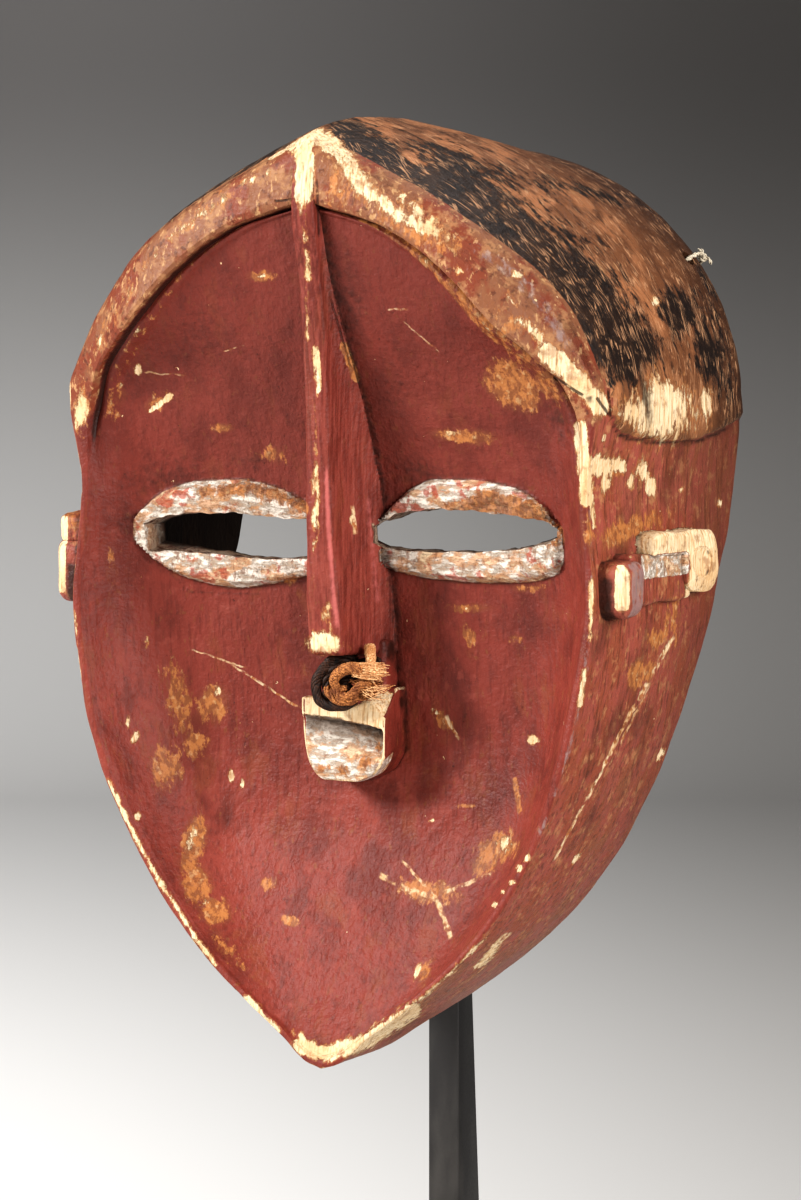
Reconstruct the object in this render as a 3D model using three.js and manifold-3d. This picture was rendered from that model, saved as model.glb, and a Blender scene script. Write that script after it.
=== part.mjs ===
// A carved face mask of light wood, hollow behind, that stands on a steel post with a foot.
// Millimetres, +Z up. The face looks along -Y and +X is at the right of someone who looks at it.
// Inside the mask's own group, heights run up from the chin and depths run back from the front.
import * as THREE from "three";
import { mergeVertices } from "three/addons/utils/BufferGeometryUtils.js";
import Module from "manifold-3d";

const wasm = await Module();
wasm.setup();

// Driving dimensions of the mask
const BORDER_TOP = 306; // height of the point of the forehead border
const TEMPLE = 222; // height where the face is widest and the cap's arch springs
const TEMPLE_HALF_WIDTH = 99;
const REAR_DEPTH = 116; // how far back the rear rim lies from the temples up
const REAR_HALF_WIDTH = 98.6; // of the round rear arch, at the temples
const REAR_ARCH_RISE = 83.6; // of the round rear arch above the temples
const WALL = 9; // thickness of the carved side wall
const FACE_WALL = 9.5; // thickness of the carved face
const BELLY = 1.5; // how far the side wall bulges
const CAP_STEP = 1.6; // how far the cap stands proud of the side wall at the temples
const CROWN_STEP = 0.5; // and on the crown
const CAP_FOOT = 207; // height of the cap's lower end

// Driving dimensions of the stand
const CHIN_ABOVE_FLOOR = 123;
const FOOT = { width: 136, depth: 104, thickness: 8, front: 13 };
const POST = { width: 11.6, front: 91.5, top: 158, waist: 50, waistDepth: 8.2, baseDepth: 20 };
const GAP = 0.3; // clearance between two pieces that touch
const FRONT_TO_MIDDLE = 57.7; // depth of the middle of the whole object

const { lerp: mix, clamp } = THREE.MathUtils;
const smoothstep = (from, to, x) => THREE.MathUtils.smoothstep(x, from, to);
const spaced = (from, to, count) =>
  Array.from({ length: count + 1 }, (_, i) => mix(from, to, i / count));

// A smooth function through stations [at, value] that never overshoots between them.
function through(stations) {
  const last = stations.length - 1;
  const at = stations.map((s) => s[0]);
  const value = stations.map((s) => s[1]);
  const slope = spaced(0, last - 1, last - 1).map(
    (i) => (value[i + 1] - value[i]) / (at[i + 1] - at[i]),
  );
  const tangent = at.map((_, i) => {
    if (i === 0 || i === last) return slope[Math.min(i, last - 1)];
    const [a, b] = [slope[i - 1], slope[i]];
    return a * b <= 0 ? 0 : (2 * a * b) / (a + b);
  });
  return (x) => {
    const t = clamp(x, at[0], at[last]);
    let i = 0;
    while (i < last - 1 && t > at[i + 1]) i++;
    const h = at[i + 1] - at[i];
    const s = (t - at[i]) / h;
    const level = value[i] * (1 + 2 * s) * (1 - s) ** 2 + value[i + 1] * s * s * (3 - 2 * s);
    return level + h * (tangent[i] * s * (1 - s) ** 2 - tangent[i + 1] * s * s * (1 - s));
  };
}

// Front edge of the mask: half-width and depth at each height.
const edgeHalfWidth = through([
  [0, 0], [2, 6], [10, 16], [20, 29.6], [40, 52], [60, 67.6], [80, 79], [100, 87], [120, 92.2],
  [155, 97.4], [190, 94.6], [TEMPLE, TEMPLE_HALF_WIDTH], [235, 94.8], [250, 86.7], [265, 72.6],
  [285, 42.8], [BORDER_TOP, 0],
]);
const edgeDepth = through([
  [0, 4], [30, 7], [60, 8.5], [110, 5.5], [180, 8.5], [250, 8.5], [280, -2.5], [BORDER_TOP, -4],
]);

// The raised border round the forehead has an inner line: its height for each height on the
// front edge, and its half-width and depth. Below the border that line bounds the worn rim.
const BORDER_FOOT = 200;
const BORDER_STEP = 4;
const RIM = 4;
const chinShare = (z) => 1 - smoothstep(0, 60, z);
const borderHeight = through([
  [BORDER_FOOT, BORDER_FOOT], [TEMPLE, 219.5], [245, 236], [265, 252], [285, 270],
  [BORDER_TOP, 284],
]);
const borderHalfWidth = through([
  [190, 90.6], [208, 91.2], [225, 86.4], [245, 66.8], [262, 49.6], [276, 27.8], [284, 0],
]);
const borderDepth = through([[190, 8.3], [215, 8], [225, 5], [235, -1.5], [247, -7.5], [284, -8]]);
const innerHeight = (z) => (z < BORDER_FOOT ? z + RIM * chinShare(z) : borderHeight(z));
const innerHalfWidth = (z) =>
  z < 190
    ? Math.max(0, edgeHalfWidth(z - RIM * chinShare(z)) - RIM * (1 - chinShare(z)))
    : borderHalfWidth(z);
const innerDepth = (z) =>
  z < 190 ? edgeDepth(z) + 1.5 : borderDepth(z) + mix(1.7, BORDER_STEP, smoothstep(200, 225, z));

// The face field is a dish: its middle line goes back from the forehead to the mouth and comes
// forward again to the chin, and its edges turn up to the rim.
const middleDepth = through([
  [0, 4.6], [20, 10], [50, 23], [80, 33], [107, 35.5], [150, 31.5], [187, 26], [220, 15.8],
  [248, 4.7], [264, -0.2], [284, -5],
]);
const dishPower = through([[0, 3], [60, 7], [200, 7], [260, 4]]);
function fieldDepth(x, z) {
  const edge = innerDepth(z);
  const u = Math.min(1, Math.abs(x) / Math.max(innerHalfWidth(z), 1));
  return edge + (middleDepth(z) - edge) * (1 - u ** dishPower(z));
}

// Length along the front edge up to a height, and the height for a share of that length.
const EDGE_STEPS = 300;
const edgeLengths = spaced(0, BORDER_TOP, EDGE_STEPS).map((z, i, heights) =>
  i ? Math.hypot(z - heights[i - 1], edgeHalfWidth(z) - edgeHalfWidth(heights[i - 1])) : 0,
);
edgeLengths.forEach((_, i) => {
  if (i) edgeLengths[i] += edgeLengths[i - 1];
});
function edgeShare(z) {
  const place = (clamp(z, 0, BORDER_TOP) / BORDER_TOP) * EDGE_STEPS;
  const i = Math.min(EDGE_STEPS - 1, Math.floor(place));
  return mix(edgeLengths[i], edgeLengths[i + 1], place - i) / edgeLengths[EDGE_STEPS];
}
function heightAtShare(share) {
  let [low, high] = [0, BORDER_TOP];
  for (let i = 0; i < 24; i++) {
    const half = (low + high) / 2;
    if (edgeShare(half) < share) low = half;
    else high = half;
  }
  return (low + high) / 2;
}

// Rear rim, matched to a height on the front edge: below the temples it follows the front edge,
// above them it is a round arch.
const rearFlare = through([
  [0, 0], [40, 1], [100, 1.5], [140, 1.2], [160, 1.2], [178, 3.4], [190, 4.4], [206, 2.8],
  [TEMPLE, REAR_HALF_WIDTH - TEMPLE_HALF_WIDTH],
]);
const rearDepth = through([
  [0, 38], [10, 46], [20, 54], [40, 64.5], [60, 73], [100, 81], [140, 94], [160, 102],
  [175, 109], [190, 113], [205, 115.5], [TEMPLE, REAR_DEPTH],
]);
const REAR_CHIN_LIFT = 1.5;
const isEnd = (z) => z <= 0 || z >= BORDER_TOP;
function rearPoint(z) {
  if (z <= TEMPLE) {
    const lift = REAR_CHIN_LIFT * Math.max(0, 1 - z / 40) ** 2;
    return new THREE.Vector3(edgeHalfWidth(z) + rearFlare(z), rearDepth(z), z + lift);
  }
  const turn = (edgeShare(z) - edgeShare(TEMPLE)) / (1 - edgeShare(TEMPLE));
  const angle = (Math.PI / 2) * turn;
  return new THREE.Vector3(
    REAR_HALF_WIDTH * Math.cos(angle),
    REAR_DEPTH,
    TEMPLE + REAR_ARCH_RISE * Math.sin(angle),
  );
}

// The direction out of the front edge at a height, square to the depth.
function outward(z) {
  if (z >= BORDER_TOP) return new THREE.Vector3(0, 0, 1);
  if (z <= 0) return new THREE.Vector3(0, 0, -1);
  const reach = Math.min(0.5, z, BORDER_TOP - z);
  const run = edgeHalfWidth(z + reach) - edgeHalfWidth(z - reach);
  return new THREE.Vector3(2 * reach, 0, -run).normalize();
}

// How far the crown bulges above a straight line from the front edge, 0, to the rear rim, 1.
const crestRise = through([
  [0, 0], [0.1, 3.6], [0.21, 5.7], [0.3, 6.8], [0.55, 7.6], [0.66, 6.2], [0.79, 3.6], [0.88, 1.6],
  [1, 0],
]);

// A point of the side wall or crown: v runs from the front edge, 0, to the rear rim, 1.
function wallPoint(z, v) {
  const point = new THREE.Vector3(edgeHalfWidth(z), edgeDepth(z), z).lerp(rearPoint(z), v);
  const crown = smoothstep(245, 303, z);
  const step = mix(CAP_STEP, CROWN_STEP, smoothstep(228, 262, z));
  const cap = step * smoothstep(CAP_FOOT, CAP_FOOT + 2.5, z) * smoothstep(0.02, 0.09, v);
  const belly = BELLY * 4 * v * (1 - v) * (1 - crown) * smoothstep(0, 40, z);
  point.addScaledVector(outward(z), crestRise(v) * crown + belly + cap);
  if (isEnd(z)) point.x = 0;
  return point;
}

// A closed surface through sections, each a closed loop of as many points. Without caps the
// first and the last loop have fallen together into a line.
function loft(sections, capped = false) {
  const count = sections[0].length;
  const positions = [];
  const face = (...corners) => corners.forEach((p) => positions.push(p.x, p.y, p.z));
  for (let k = 0; k < sections.length - 1; k++) {
    for (let i = 0; i < count; i++) {
      const j = (i + 1) % count;
      const [near, far] = [sections[k], sections[k + 1]];
      face(near[i], near[j], far[j]);
      face(near[i], far[j], far[i]);
    }
  }
  if (capped) {
    const [first, last] = [sections[0], sections[sections.length - 1]];
    for (let i = 1; i < count - 1; i++) {
      face(first[0], first[i + 1], first[i]);
      face(last[0], last[i], last[i + 1]);
    }
  }
  const geometry = new THREE.BufferGeometry();
  return geometry.setAttribute("position", new THREE.Float32BufferAttribute(positions, 3));
}

// A geometry as a solid that can be joined and cut, turned right side out where it needs that.
function solid(geometry) {
  const loose = geometry.index ? geometry.toNonIndexed() : geometry;
  const bare = new THREE.BufferGeometry();
  bare.setAttribute("position", loose.getAttribute("position"));
  const merged = mergeVertices(bare, 1e-3);
  const corners = merged.index.array;
  const kept = [];
  for (let i = 0; i < corners.length; i += 3) {
    const [a, b, c] = [corners[i], corners[i + 1], corners[i + 2]];
    if (a !== b && b !== c && a !== c) kept.push(a, b, c);
  }
  const build = () =>
    new wasm.Manifold(
      new wasm.Mesh({
        numProp: 3,
        vertProperties: merged.attributes.position.array,
        triVerts: new Uint32Array(kept),
      }),
    );
  const made = build();
  if (made.volume() > 0) return made;
  for (let i = 0; i < kept.length; i += 3) [kept[i + 1], kept[i + 2]] = [kept[i + 2], kept[i + 1]];
  return build();
}

// A solid turned back into geometry for a mesh.
function geometryOf(made) {
  const { vertProperties, triVerts } = made.getMesh();
  const indexed = new THREE.BufferGeometry();
  indexed.setAttribute("position", new THREE.BufferAttribute(vertProperties, 3));
  indexed.setIndex(new THREE.BufferAttribute(triVerts, 1));
  const flat = indexed.toNonIndexed();
  flat.computeVertexNormals();
  return flat;
}

// A shape drawn over depth and height, extruded across from one width to another.
function extrudeAcross(shape, from, to, options = {}) {
  const settings = { depth: to - from, bevelEnabled: false, curveSegments: 5, ...options };
  const basis = new THREE.Matrix4().makeBasis(
    new THREE.Vector3(0, 1, 0),
    new THREE.Vector3(0, 0, 1),
    new THREE.Vector3(1, 0, 0),
  );
  return new THREE.ExtrudeGeometry(shape, settings).applyMatrix4(basis).translate(from, 0, 0);
}

// A shape drawn over width and height, extruded back from one depth to another.
function extrudeBack(shape, from, to, options = {}) {
  const settings = { depth: to - from, bevelEnabled: false, curveSegments: 5, ...options };
  const basis = new THREE.Matrix4().makeBasis(
    new THREE.Vector3(1, 0, 0),
    new THREE.Vector3(0, 0, 1),
    new THREE.Vector3(0, -1, 0),
  );
  return new THREE.ExtrudeGeometry(shape, settings).applyMatrix4(basis).translate(0, to, 0);
}

function roundedRectangle(left, bottom, right, top, radius) {
  const shape = new THREE.Shape();
  const quarter = Math.PI / 2;
  shape.absarc(right - radius, bottom + radius, radius, -quarter, 0);
  shape.absarc(right - radius, top - radius, radius, 0, quarter);
  shape.absarc(left + radius, top - radius, radius, quarter, 2 * quarter);
  shape.absarc(left + radius, bottom + radius, radius, 2 * quarter, 3 * quarter);
  shape.closePath();
  return shape;
}

function mirrorSection(right) {
  const flip = (p) => new THREE.Vector3(-p.x, p.y, p.z);
  return [...right, ...right.slice(1, -1).map(flip).reverse()];
}

// Shell: rows run from the chin to the point of the border, evenly along the front edge
const ROWS = 46;
const FIELD_COLUMNS = [0, 0.14, 0.3, 0.47, 0.63, 0.77, 0.87, 0.94, 0.98, 1];
const WALL_STEPS = [0, 0.03, 0.09, 0.25, 0.42, 0.6, 0.8, 1];
const HOLLOW_ROWS = 24;
const HOLLOW_COLUMNS = [0, 0.25, 0.5, 0.72, 0.88, 0.97];

function shellRows(count) {
  const rows = spaced(0, 1, count).map(heightAtShare);
  rows[0] = 0;
  rows[count] = BORDER_TOP;
  return rows;
}

// Half a section, from the middle of the field over the rim and the wall to the rear's middle.
function outerSection(z) {
  const height = innerHeight(z);
  const width = isEnd(z) ? 0 : innerHalfWidth(height);
  const field = FIELD_COLUMNS.map(
    (u) => new THREE.Vector3(u * width, fieldDepth(u * width, height), height),
  );
  const foot = field[field.length - 1];
  foot.y = innerDepth(height);
  const wall = WALL_STEPS.map((v) => wallPoint(z, v));
  const lip = foot.clone().lerp(wall[0], z < BORDER_FOOT ? 0.35 : 0.06);
  lip.y = z < BORDER_FOOT ? edgeDepth(z) - 0.2 : borderDepth(height);
  const round = foot.clone().lerp(wall[0], 0.7);
  round.y = mix(lip.y, wall[0].y, 0.62) - mix(0.4, 1.6, smoothstep(205, 240, z));
  const rim = wall[wall.length - 1];
  const rear = [0.5, 0].map((u) => new THREE.Vector3(u * rim.x, rim.y, rim.z));
  return mirrorSection([...field, lip, round, ...wall, ...rear]);
}

// The hollow is the outer form drawn in by the wall, and open at the rear.
const HOLLOW_FLOOR = 10.6;
const HOLLOW_HEIGHT = (BORDER_TOP - 2 * WALL - 2.4) / BORDER_TOP;
const HOLLOW_WIDTH = 1 - WALL / TEMPLE_HALF_WIDTH;
const drawnIn = (p) =>
  new THREE.Vector3(p.x * HOLLOW_WIDTH, p.y, HOLLOW_FLOOR + p.z * HOLLOW_HEIGHT);
function hollowSection(z) {
  const edge = drawnIn(wallPoint(z, 0));
  const sunk = Math.max(0, middleDepth(edge.z) - innerDepth(edge.z));
  const faceBack = HOLLOW_COLUMNS.map(
    (u) =>
      new THREE.Vector3(
        u * edge.x,
        middleDepth(edge.z) + FACE_WALL - 0.35 * sunk * u ** 4,
        edge.z,
      ),
  );
  const start = faceBack[faceBack.length - 1].y + 3;
  const share = clamp((start - edgeDepth(z)) / (rearPoint(z).y - edgeDepth(z)), 0, 0.9);
  const sides = [0, 0.35, 0.7, 1].map((s) => drawnIn(wallPoint(z, mix(share, 1, s))));
  const rim = sides[sides.length - 1];
  const beyond = rim.y + 12;
  const open = [rim.x, 0].map((x) => new THREE.Vector3(x, beyond, rim.z));
  return mirrorSection([...faceBack, ...sides, ...open]);
}

function makeShell() {
  const step = [CAP_FOOT - 0.5, CAP_FOOT + 2.6];
  const rows = shellRows(ROWS).filter((z) => z < step[0] - 2 || z > step[1] + 2);
  rows.push(...step);
  rows.sort((a, b) => a - b);
  const outer = solid(loft(rows.map(outerSection)));
  return outer.subtract(solid(loft(shellRows(HOLLOW_ROWS).map(hollowSection))));
}

// Nose: a long wedge with a flat front strip, from the point of the border down to its tip
const NOSE_TIP = 136;
const noseFront = through([
  [NOSE_TIP, 7.3], [161, 4.4], [181, 2.6], [207, 1.6], [233, -0.2], [259, -3.5], [284, -8.8],
  [BORDER_TOP, -5.5],
]);
const noseStrip = through([[NOSE_TIP, 6.4], [161, 5.6], [185, 4.5], [207, 4.1], [BORDER_TOP, 3.9]]);
const noseBase = through([
  [NOSE_TIP, 13.5], [150, 13], [170, 12.2], [187, 11.5], [220, 9.5], [248, 7], [264, 5.6],
  [284, 4.6],
]);
function makeNose() {
  const heights = [NOSE_TIP, NOSE_TIP + 1.6, ...spaced(149, 300, 13)];
  const sections = heights.map((z, i) => {
    const tuck = i === 0 ? 1.2 : 0;
    const front = noseFront(z) + tuck;
    const strip = noseStrip(z) - tuck;
    const base = noseBase(z);
    const flank = fieldDepth(base, z) + 0.4;
    const back = middleDepth(z) + 4;
    const half = [
      [0, front - 0.3],
      [strip * 0.8, front],
      [strip, front + 0.9],
      [mix(strip, base, 0.62), mix(front, flank, 0.6)],
      [base, flank],
      [base, back],
      [0, back],
    ];
    return mirrorSection(half.map(([x, y]) => new THREE.Vector3(x, y, z)));
  });
  return solid(loft(sections, true));
}

// Mouth: a box with a slightly sloping upper lip, a slot below it and a scooped lower lip
const MOUTH = { top: 116.8, bottom: 95.3, halfWidth: 16, back: 40, lipSlope: -0.12 };
const MOUTH_PROFILE = [
  [18.2, 116], [17.6, 114.2], [18.4, 112.6], [28, 112], [28.4, 108.2], [25.4, 104.4],
  [21.8, 101.6], [19.6, 100], [20.2, 96.6], [24, MOUTH.bottom], [MOUTH.back, MOUTH.bottom],
  [MOUTH.back, MOUTH.top], [20, MOUTH.top],
];
function makeMouth() {
  const { top, bottom, halfWidth, back, lipSlope } = MOUTH;
  const profile = new THREE.Shape(MOUTH_PROFILE.map(([y, z]) => new THREE.Vector2(y, z)));
  const bar = extrudeAcross(profile, -halfWidth - 1, halfWidth + 1);
  const corner = bar.getAttribute("position");
  for (let i = 0; i < corner.count; i++) {
    const z = corner.getZ(i);
    corner.setZ(i, z + lipSlope * corner.getX(i) * smoothstep(109, top, z));
  }
  const outline = new THREE.Shape();
  outline.moveTo(-halfWidth, top + 5);
  outline.lineTo(-halfWidth, 109);
  outline.quadraticCurveTo(-halfWidth + 1, bottom, -8, bottom - 1);
  outline.lineTo(8, bottom - 1);
  outline.quadraticCurveTo(halfWidth - 1, bottom, halfWidth, 109);
  outline.lineTo(halfWidth, top + 5);
  outline.closePath();
  return solid(bar).intersect(solid(extrudeBack(outline, 10, back + 2)));
}

// A narrow bridge of wood behind the cord joins the nose to the mouth.
const BRIDGE = { halfWidth: 6, front: 24, back: 40 };
function makeBridge() {
  const { halfWidth, front, back } = BRIDGE;
  const outline = roundedRectangle(-halfWidth, MOUTH.top - 4, halfWidth, NOSE_TIP + 4, 2);
  return solid(extrudeBack(outline, front, back, { curveSegments: 2 }));
}

// Eyes: raised lids round a slit that goes right through. Each line gives the height at a
// distance from the middle of the face. The left eye, side -1, was cut a little lower.
const LID_RAISE = 3;
const EYE_INNER = 10;
const EYES = [
  {
    side: 1,
    lidOuter: 81,
    slitOuter: 78.5,
    upperLid: through([
      [10, 181], [12.3, 183.1], [22.3, 191.2], [31.6, 194.6], [44.6, 194.8], [59.6, 192.8],
      [71.7, 187.3], [77.6, 181.4], [81, 177],
    ]),
    lowerLid: through([
      [10, 164], [16, 162.4], [29.8, 160.4], [44.6, 159.8], [59.6, 160.3], [76.2, 163.5], [81, 169],
    ]),
    slitTop: through([[12, 180], [22.3, 183.6], [37.2, 184.5], [55.8, 183.3], [71.7, 181.5], [78.5, 179.4]]),
    slitFloor: through([[12, 171.2], [26, 170.2], [48, 170.4], [63.5, 171.8], [71.7, 173.7], [78.5, 176]]),
  },
  {
    side: -1,
    lidOuter: 82,
    slitOuter: 77,
    upperLid: through([
      [10, 182], [18.3, 186.4], [26.7, 190.6], [42.1, 193.4], [57.2, 192.8], [69.7, 189.6],
      [78.3, 182.8], [82, 177],
    ]),
    lowerLid: through([
      [10, 162], [18, 160.5], [30.6, 157.8], [47.9, 155.6], [55.5, 156.5], [66.4, 159.3], [75.3, 165.3],
      [82, 172],
    ]),
    slitTop: through([[12, 180], [30.6, 180.5], [44, 181.6], [66.3, 180.9], [77, 177.5]]),
    slitFloor: through([[12, 167.2], [34.4, 166.1], [51.7, 167.3], [62.8, 167.8], [77, 168.4]]),
  },
];

// A closed slab over a patch of the face, on the right for side 1 and on the left for side -1.
function slab(side, widths, steps, low, high, front, back) {
  const sections = widths.map((x) => {
    const column = spaced(low(x), high(x), steps);
    const near = column.map((z) => new THREE.Vector3(side * x, front(x, z), z));
    const far = column.map((z) => new THREE.Vector3(side * x, back(x, z), z)).reverse();
    return [...near, ...far];
  });
  return solid(loft(sections, true));
}

function makeLids({ side, lidOuter, upperLid, lowerLid }) {
  const widths = spaced(EYE_INNER, lidOuter, 13);
  const raised = (x, z) => {
    const middle = (upperLid(x) + lowerLid(x)) / 2;
    const edge = Math.abs(z - middle) / ((upperLid(x) - lowerLid(x)) / 2);
    return fieldDepth(x, z) - LID_RAISE * (1 - edge ** 6 * 0.8);
  };
  return slab(side, widths, 7, lowerLid, upperLid, raised, (x, z) => fieldDepth(x, z) + 3);
}

function makeSlit({ side, slitOuter, slitTop, slitFloor }) {
  const widths = spaced(EYE_INNER + 2, slitOuter, 10);
  return slab(side, widths, 1, slitFloor, slitTop, () => 0, () => 60);
}

// Ears: a lug in front, a bar, a rim along the top and a block behind with a shallow recess
const EAR_ROOT = 92;
const EAR_BAR = { front: 22, bottom: 154.5, back: 70, top: 171, out: 103.6, radius: 2 };
const EAR_BLOCK = { front: 62, bottom: 156.5, back: 87, top: 177.5, out: 106.4, radius: 8 };
const EAR_RECESS = { front: 66, bottom: 162, back: 80, top: 171, depth: 1.8 };
const EARS = [
  {
    side: 1,
    lug: { front: 11.5, bottom: 151, back: 25.5, top: 169.5, out: 108, radius: 4 },
    rim: { front: 40, bottom: 170, back: 75, top: 177.5, out: 105.6, radius: 2.5 },
  },
  {
    side: -1,
    lug: { front: 11.5, bottom: 151, back: 25.5, top: 172.5, out: 108, radius: 4 },
    rim: { front: 13, bottom: 171, back: 75, top: 181, out: 106.4, radius: 2.5 },
  },
];
function makeEar({ side, lug, rim }) {
  const bevel = { bevelEnabled: true, bevelThickness: 1, bevelSize: 1, bevelOffset: -1 };
  const settings = { ...bevel, bevelSegments: 1, curveSegments: 3 };
  const pieces = [lug, EAR_BAR, rim, EAR_BLOCK].map(({ front, bottom, back, top, out, radius }) => {
    const outline = roundedRectangle(front, bottom, back, top, radius);
    const [from, to] = side > 0 ? [EAR_ROOT, out - 1] : [1 - out, -EAR_ROOT];
    return solid(extrudeAcross(outline, from, to, settings));
  });
  const { front, bottom, back, top, depth } = EAR_RECESS;
  const surface = EAR_BLOCK.out - depth;
  const [from, to] = side > 0 ? [surface, surface + 10] : [-surface - 10, -surface];
  const recess = solid(extrudeAcross(roundedRectangle(front, bottom, back, top, 3), from, to));
  return pieces.reduce((whole, piece) => whole.add(piece)).subtract(recess);
}

// The small hole near the rear rim that the twine goes through
const TWINE_AT = 0.36; // share of the rear arch, from the temple to the crown
const TWINE_HOLE = { radius: 2.6, fromRim: 6 };
function twinePlace() {
  const from = edgeShare(TEMPLE);
  const z = heightAtShare(mix(from, 1, TWINE_AT));
  const outer = wallPoint(z, 1);
  const inner = drawnIn(outer);
  return { middle: outer.clone().lerp(inner, 0.5), along: outer.clone().sub(inner).normalize() };
}
function makeTwineHole() {
  const { middle, along } = twinePlace();
  const drill = new THREE.CylinderGeometry(TWINE_HOLE.radius, TWINE_HOLE.radius, 40, 10);
  drill.applyQuaternion(new THREE.Quaternion().setFromUnitVectors(new THREE.Vector3(0, 1, 0), along));
  drill.translate(middle.x, middle.y - TWINE_HOLE.fromRim, middle.z);
  return solid(drill);
}

function makeMask() {
  let mask = makeShell().add(makeNose()).add(makeMouth()).add(makeBridge());
  for (const ear of EARS) mask = mask.add(makeEar(ear));
  for (const eye of EYES) mask = mask.add(makeLids(eye));
  for (const eye of EYES) mask = mask.subtract(makeSlit(eye));
  return geometryOf(mask.subtract(makeTwineHole()));
}

// A round cord along a curve, closed at both ends.
function cordAlong(points, radius, steps, closed = false) {
  const path = new THREE.CatmullRomCurve3(points.map((p) => new THREE.Vector3(...p)), closed);
  const section = new THREE.Shape().absarc(0, 0, radius, 0, 2 * Math.PI);
  const settings = { extrudePath: path, steps, curveSegments: 4, bevelEnabled: false };
  return new THREE.ExtrudeGeometry(section, settings);
}

// Nose cord: a dark loop, a light frayed end and a short riser to the nose's underside
const KNOT = { x: 0, y: 16, z: 126.4, loop: 5.2, cord: 2.5, squeeze: 0.85 };
const KNOT_TAIL = [[-4, -1, -4.5], [1, -2.4, -2.5], [6, -1.6, 2.4], [13.5, 1, 2.6]]; // from the knot
const KNOT_RISER = [[9, 2.4, 1], [9.4, 2.6, 4.6], [9.6, 2.8, 8.8]];
function makeNoseCord() {
  const { x, y, z, loop, cord, squeeze } = KNOT;
  const ring = new THREE.TorusGeometry(loop, cord, 7, 16);
  ring.rotateX(Math.PI / 2).rotateY(0.35).scale(squeeze, 1, 1).translate(x - 2.6, y, z);
  const tail = cordAlong(KNOT_TAIL, 2.9, 9).translate(x, y, z);
  const riser = cordAlong(KNOT_RISER, 1.8, 4).translate(x, y, z);
  return geometryOf(solid(ring).add(solid(tail)).add(solid(riser)));
}

// Rim twine: one small ring through the hole and round the rear rim
const TWINE = { ring: 7.4, radius: 0.8 };
function makeRimTwine() {
  const { middle, along } = twinePlace();
  const ring = new THREE.TorusGeometry(TWINE.ring, TWINE.radius, 6, 20);
  const back = new THREE.Vector3(0, 1, 0);
  const basis = new THREE.Matrix4().makeBasis(along, back, along.clone().cross(back));
  return ring.applyMatrix4(basis).translate(middle.x, middle.y, middle.z);
}

// Stand: a tapered post, a foot plate, a hook under the chin and a rest behind the nose
const PLATE_TOP = FOOT.thickness - CHIN_ABOVE_FLOOR;
function makePost() {
  const { width, front, top, waist, waistDepth, baseDepth } = POST;
  const profile = new THREE.Shape([
    new THREE.Vector2(front, PLATE_TOP + GAP),
    new THREE.Vector2(front + baseDepth, PLATE_TOP + GAP),
    new THREE.Vector2(front + waistDepth, waist),
    new THREE.Vector2(front + waistDepth, top),
    new THREE.Vector2(front, top),
  ]);
  return extrudeAcross(profile, -width / 2, width / 2);
}

function makeFoot() {
  const { width, depth, thickness, front } = FOOT;
  const outline = roundedRectangle(-width / 2, front, width / 2, front + depth, 3);
  const settings = {
    depth: thickness - 2, bevelEnabled: true, bevelThickness: 1, bevelSize: 1, bevelOffset: -1,
  };
  const plate = new THREE.ExtrudeGeometry(outline, { ...settings, bevelSegments: 1, curveSegments: 3 });
  return plate.translate(0, 0, 1 - CHIN_ABOVE_FLOOR);
}

// The hook is drawn over depth and height: a tongue behind the rim of the chin, a second one
// inside the hollow, and an arm back to the post.
const HOOK_WIDTH = 7;
const HOOK = [
  [43.4, 3.5], [61.3, 24], [POST.front - GAP, 24], [POST.front - GAP, 27], [60.8, 27], [52, 16.6],
  [38, 16.6], [38, 14.6], [50.2, 14.6], [41.9, 5],
];
function makeChinHook() {
  const profile = new THREE.Shape(HOOK.map(([y, z]) => new THREE.Vector2(y, z)));
  return extrudeAcross(profile, -HOOK_WIDTH / 2, HOOK_WIDTH / 2);
}

const REST = { height: 146, radius: 3, pad: 8, padThickness: 4 };
const padFace = middleDepth(REST.height - REST.pad) + FACE_WALL + GAP;
function makeFaceRest() {
  const from = padFace + REST.padThickness;
  const length = POST.front - GAP - from;
  const rod = new THREE.CylinderGeometry(REST.radius, REST.radius, length, 12);
  return rod.translate(0, from + length / 2, REST.height);
}
function makeRestPad() {
  const thickness = REST.padThickness - GAP;
  const pad = new THREE.CylinderGeometry(REST.pad, REST.pad, thickness, 20);
  return pad.translate(0, padFace + thickness / 2, REST.height);
}

const finish = (color, roughness, metalness = 0) =>
  new THREE.MeshStandardMaterial({ color, roughness, metalness });
const RED_PAINTED_WOOD = finish(0x8c3e37, 0.75);
const PLANT_FIBRE = finish(0xa9794b, 0.9);
const PALE_TWINE = finish(0xc9bba6, 0.9);
const DARK_STEEL = finish(0x3c3a38, 0.55, 0.8);
const GREY_FELT = finish(0x55524e, 0.95);

function piece(name, geometry, material) {
  const mesh = new THREE.Mesh(geometry, material);
  mesh.name = name;
  return mesh;
}

// Everything is placed in mask heights and depths, then the group is set on the floor.
const object = new THREE.Group();
const maskOnStand = new THREE.Group();
maskOnStand.position.set(0, -FRONT_TO_MIDDLE, CHIN_ABOVE_FLOOR);
maskOnStand.add(
  piece("mask", makeMask(), RED_PAINTED_WOOD),
  piece("nose_cord", makeNoseCord(), PLANT_FIBRE),
  piece("rim_twine", makeRimTwine(), PALE_TWINE),
  piece("stand_post", makePost(), DARK_STEEL),
  piece("stand_foot", makeFoot(), DARK_STEEL),
  piece("chin_hook", makeChinHook(), DARK_STEEL),
  piece("face_rest", makeFaceRest(), DARK_STEEL),
  piece("rest_pad", makeRestPad(), GREY_FELT),
);
object.add(maskOnStand);

export default object;
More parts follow.
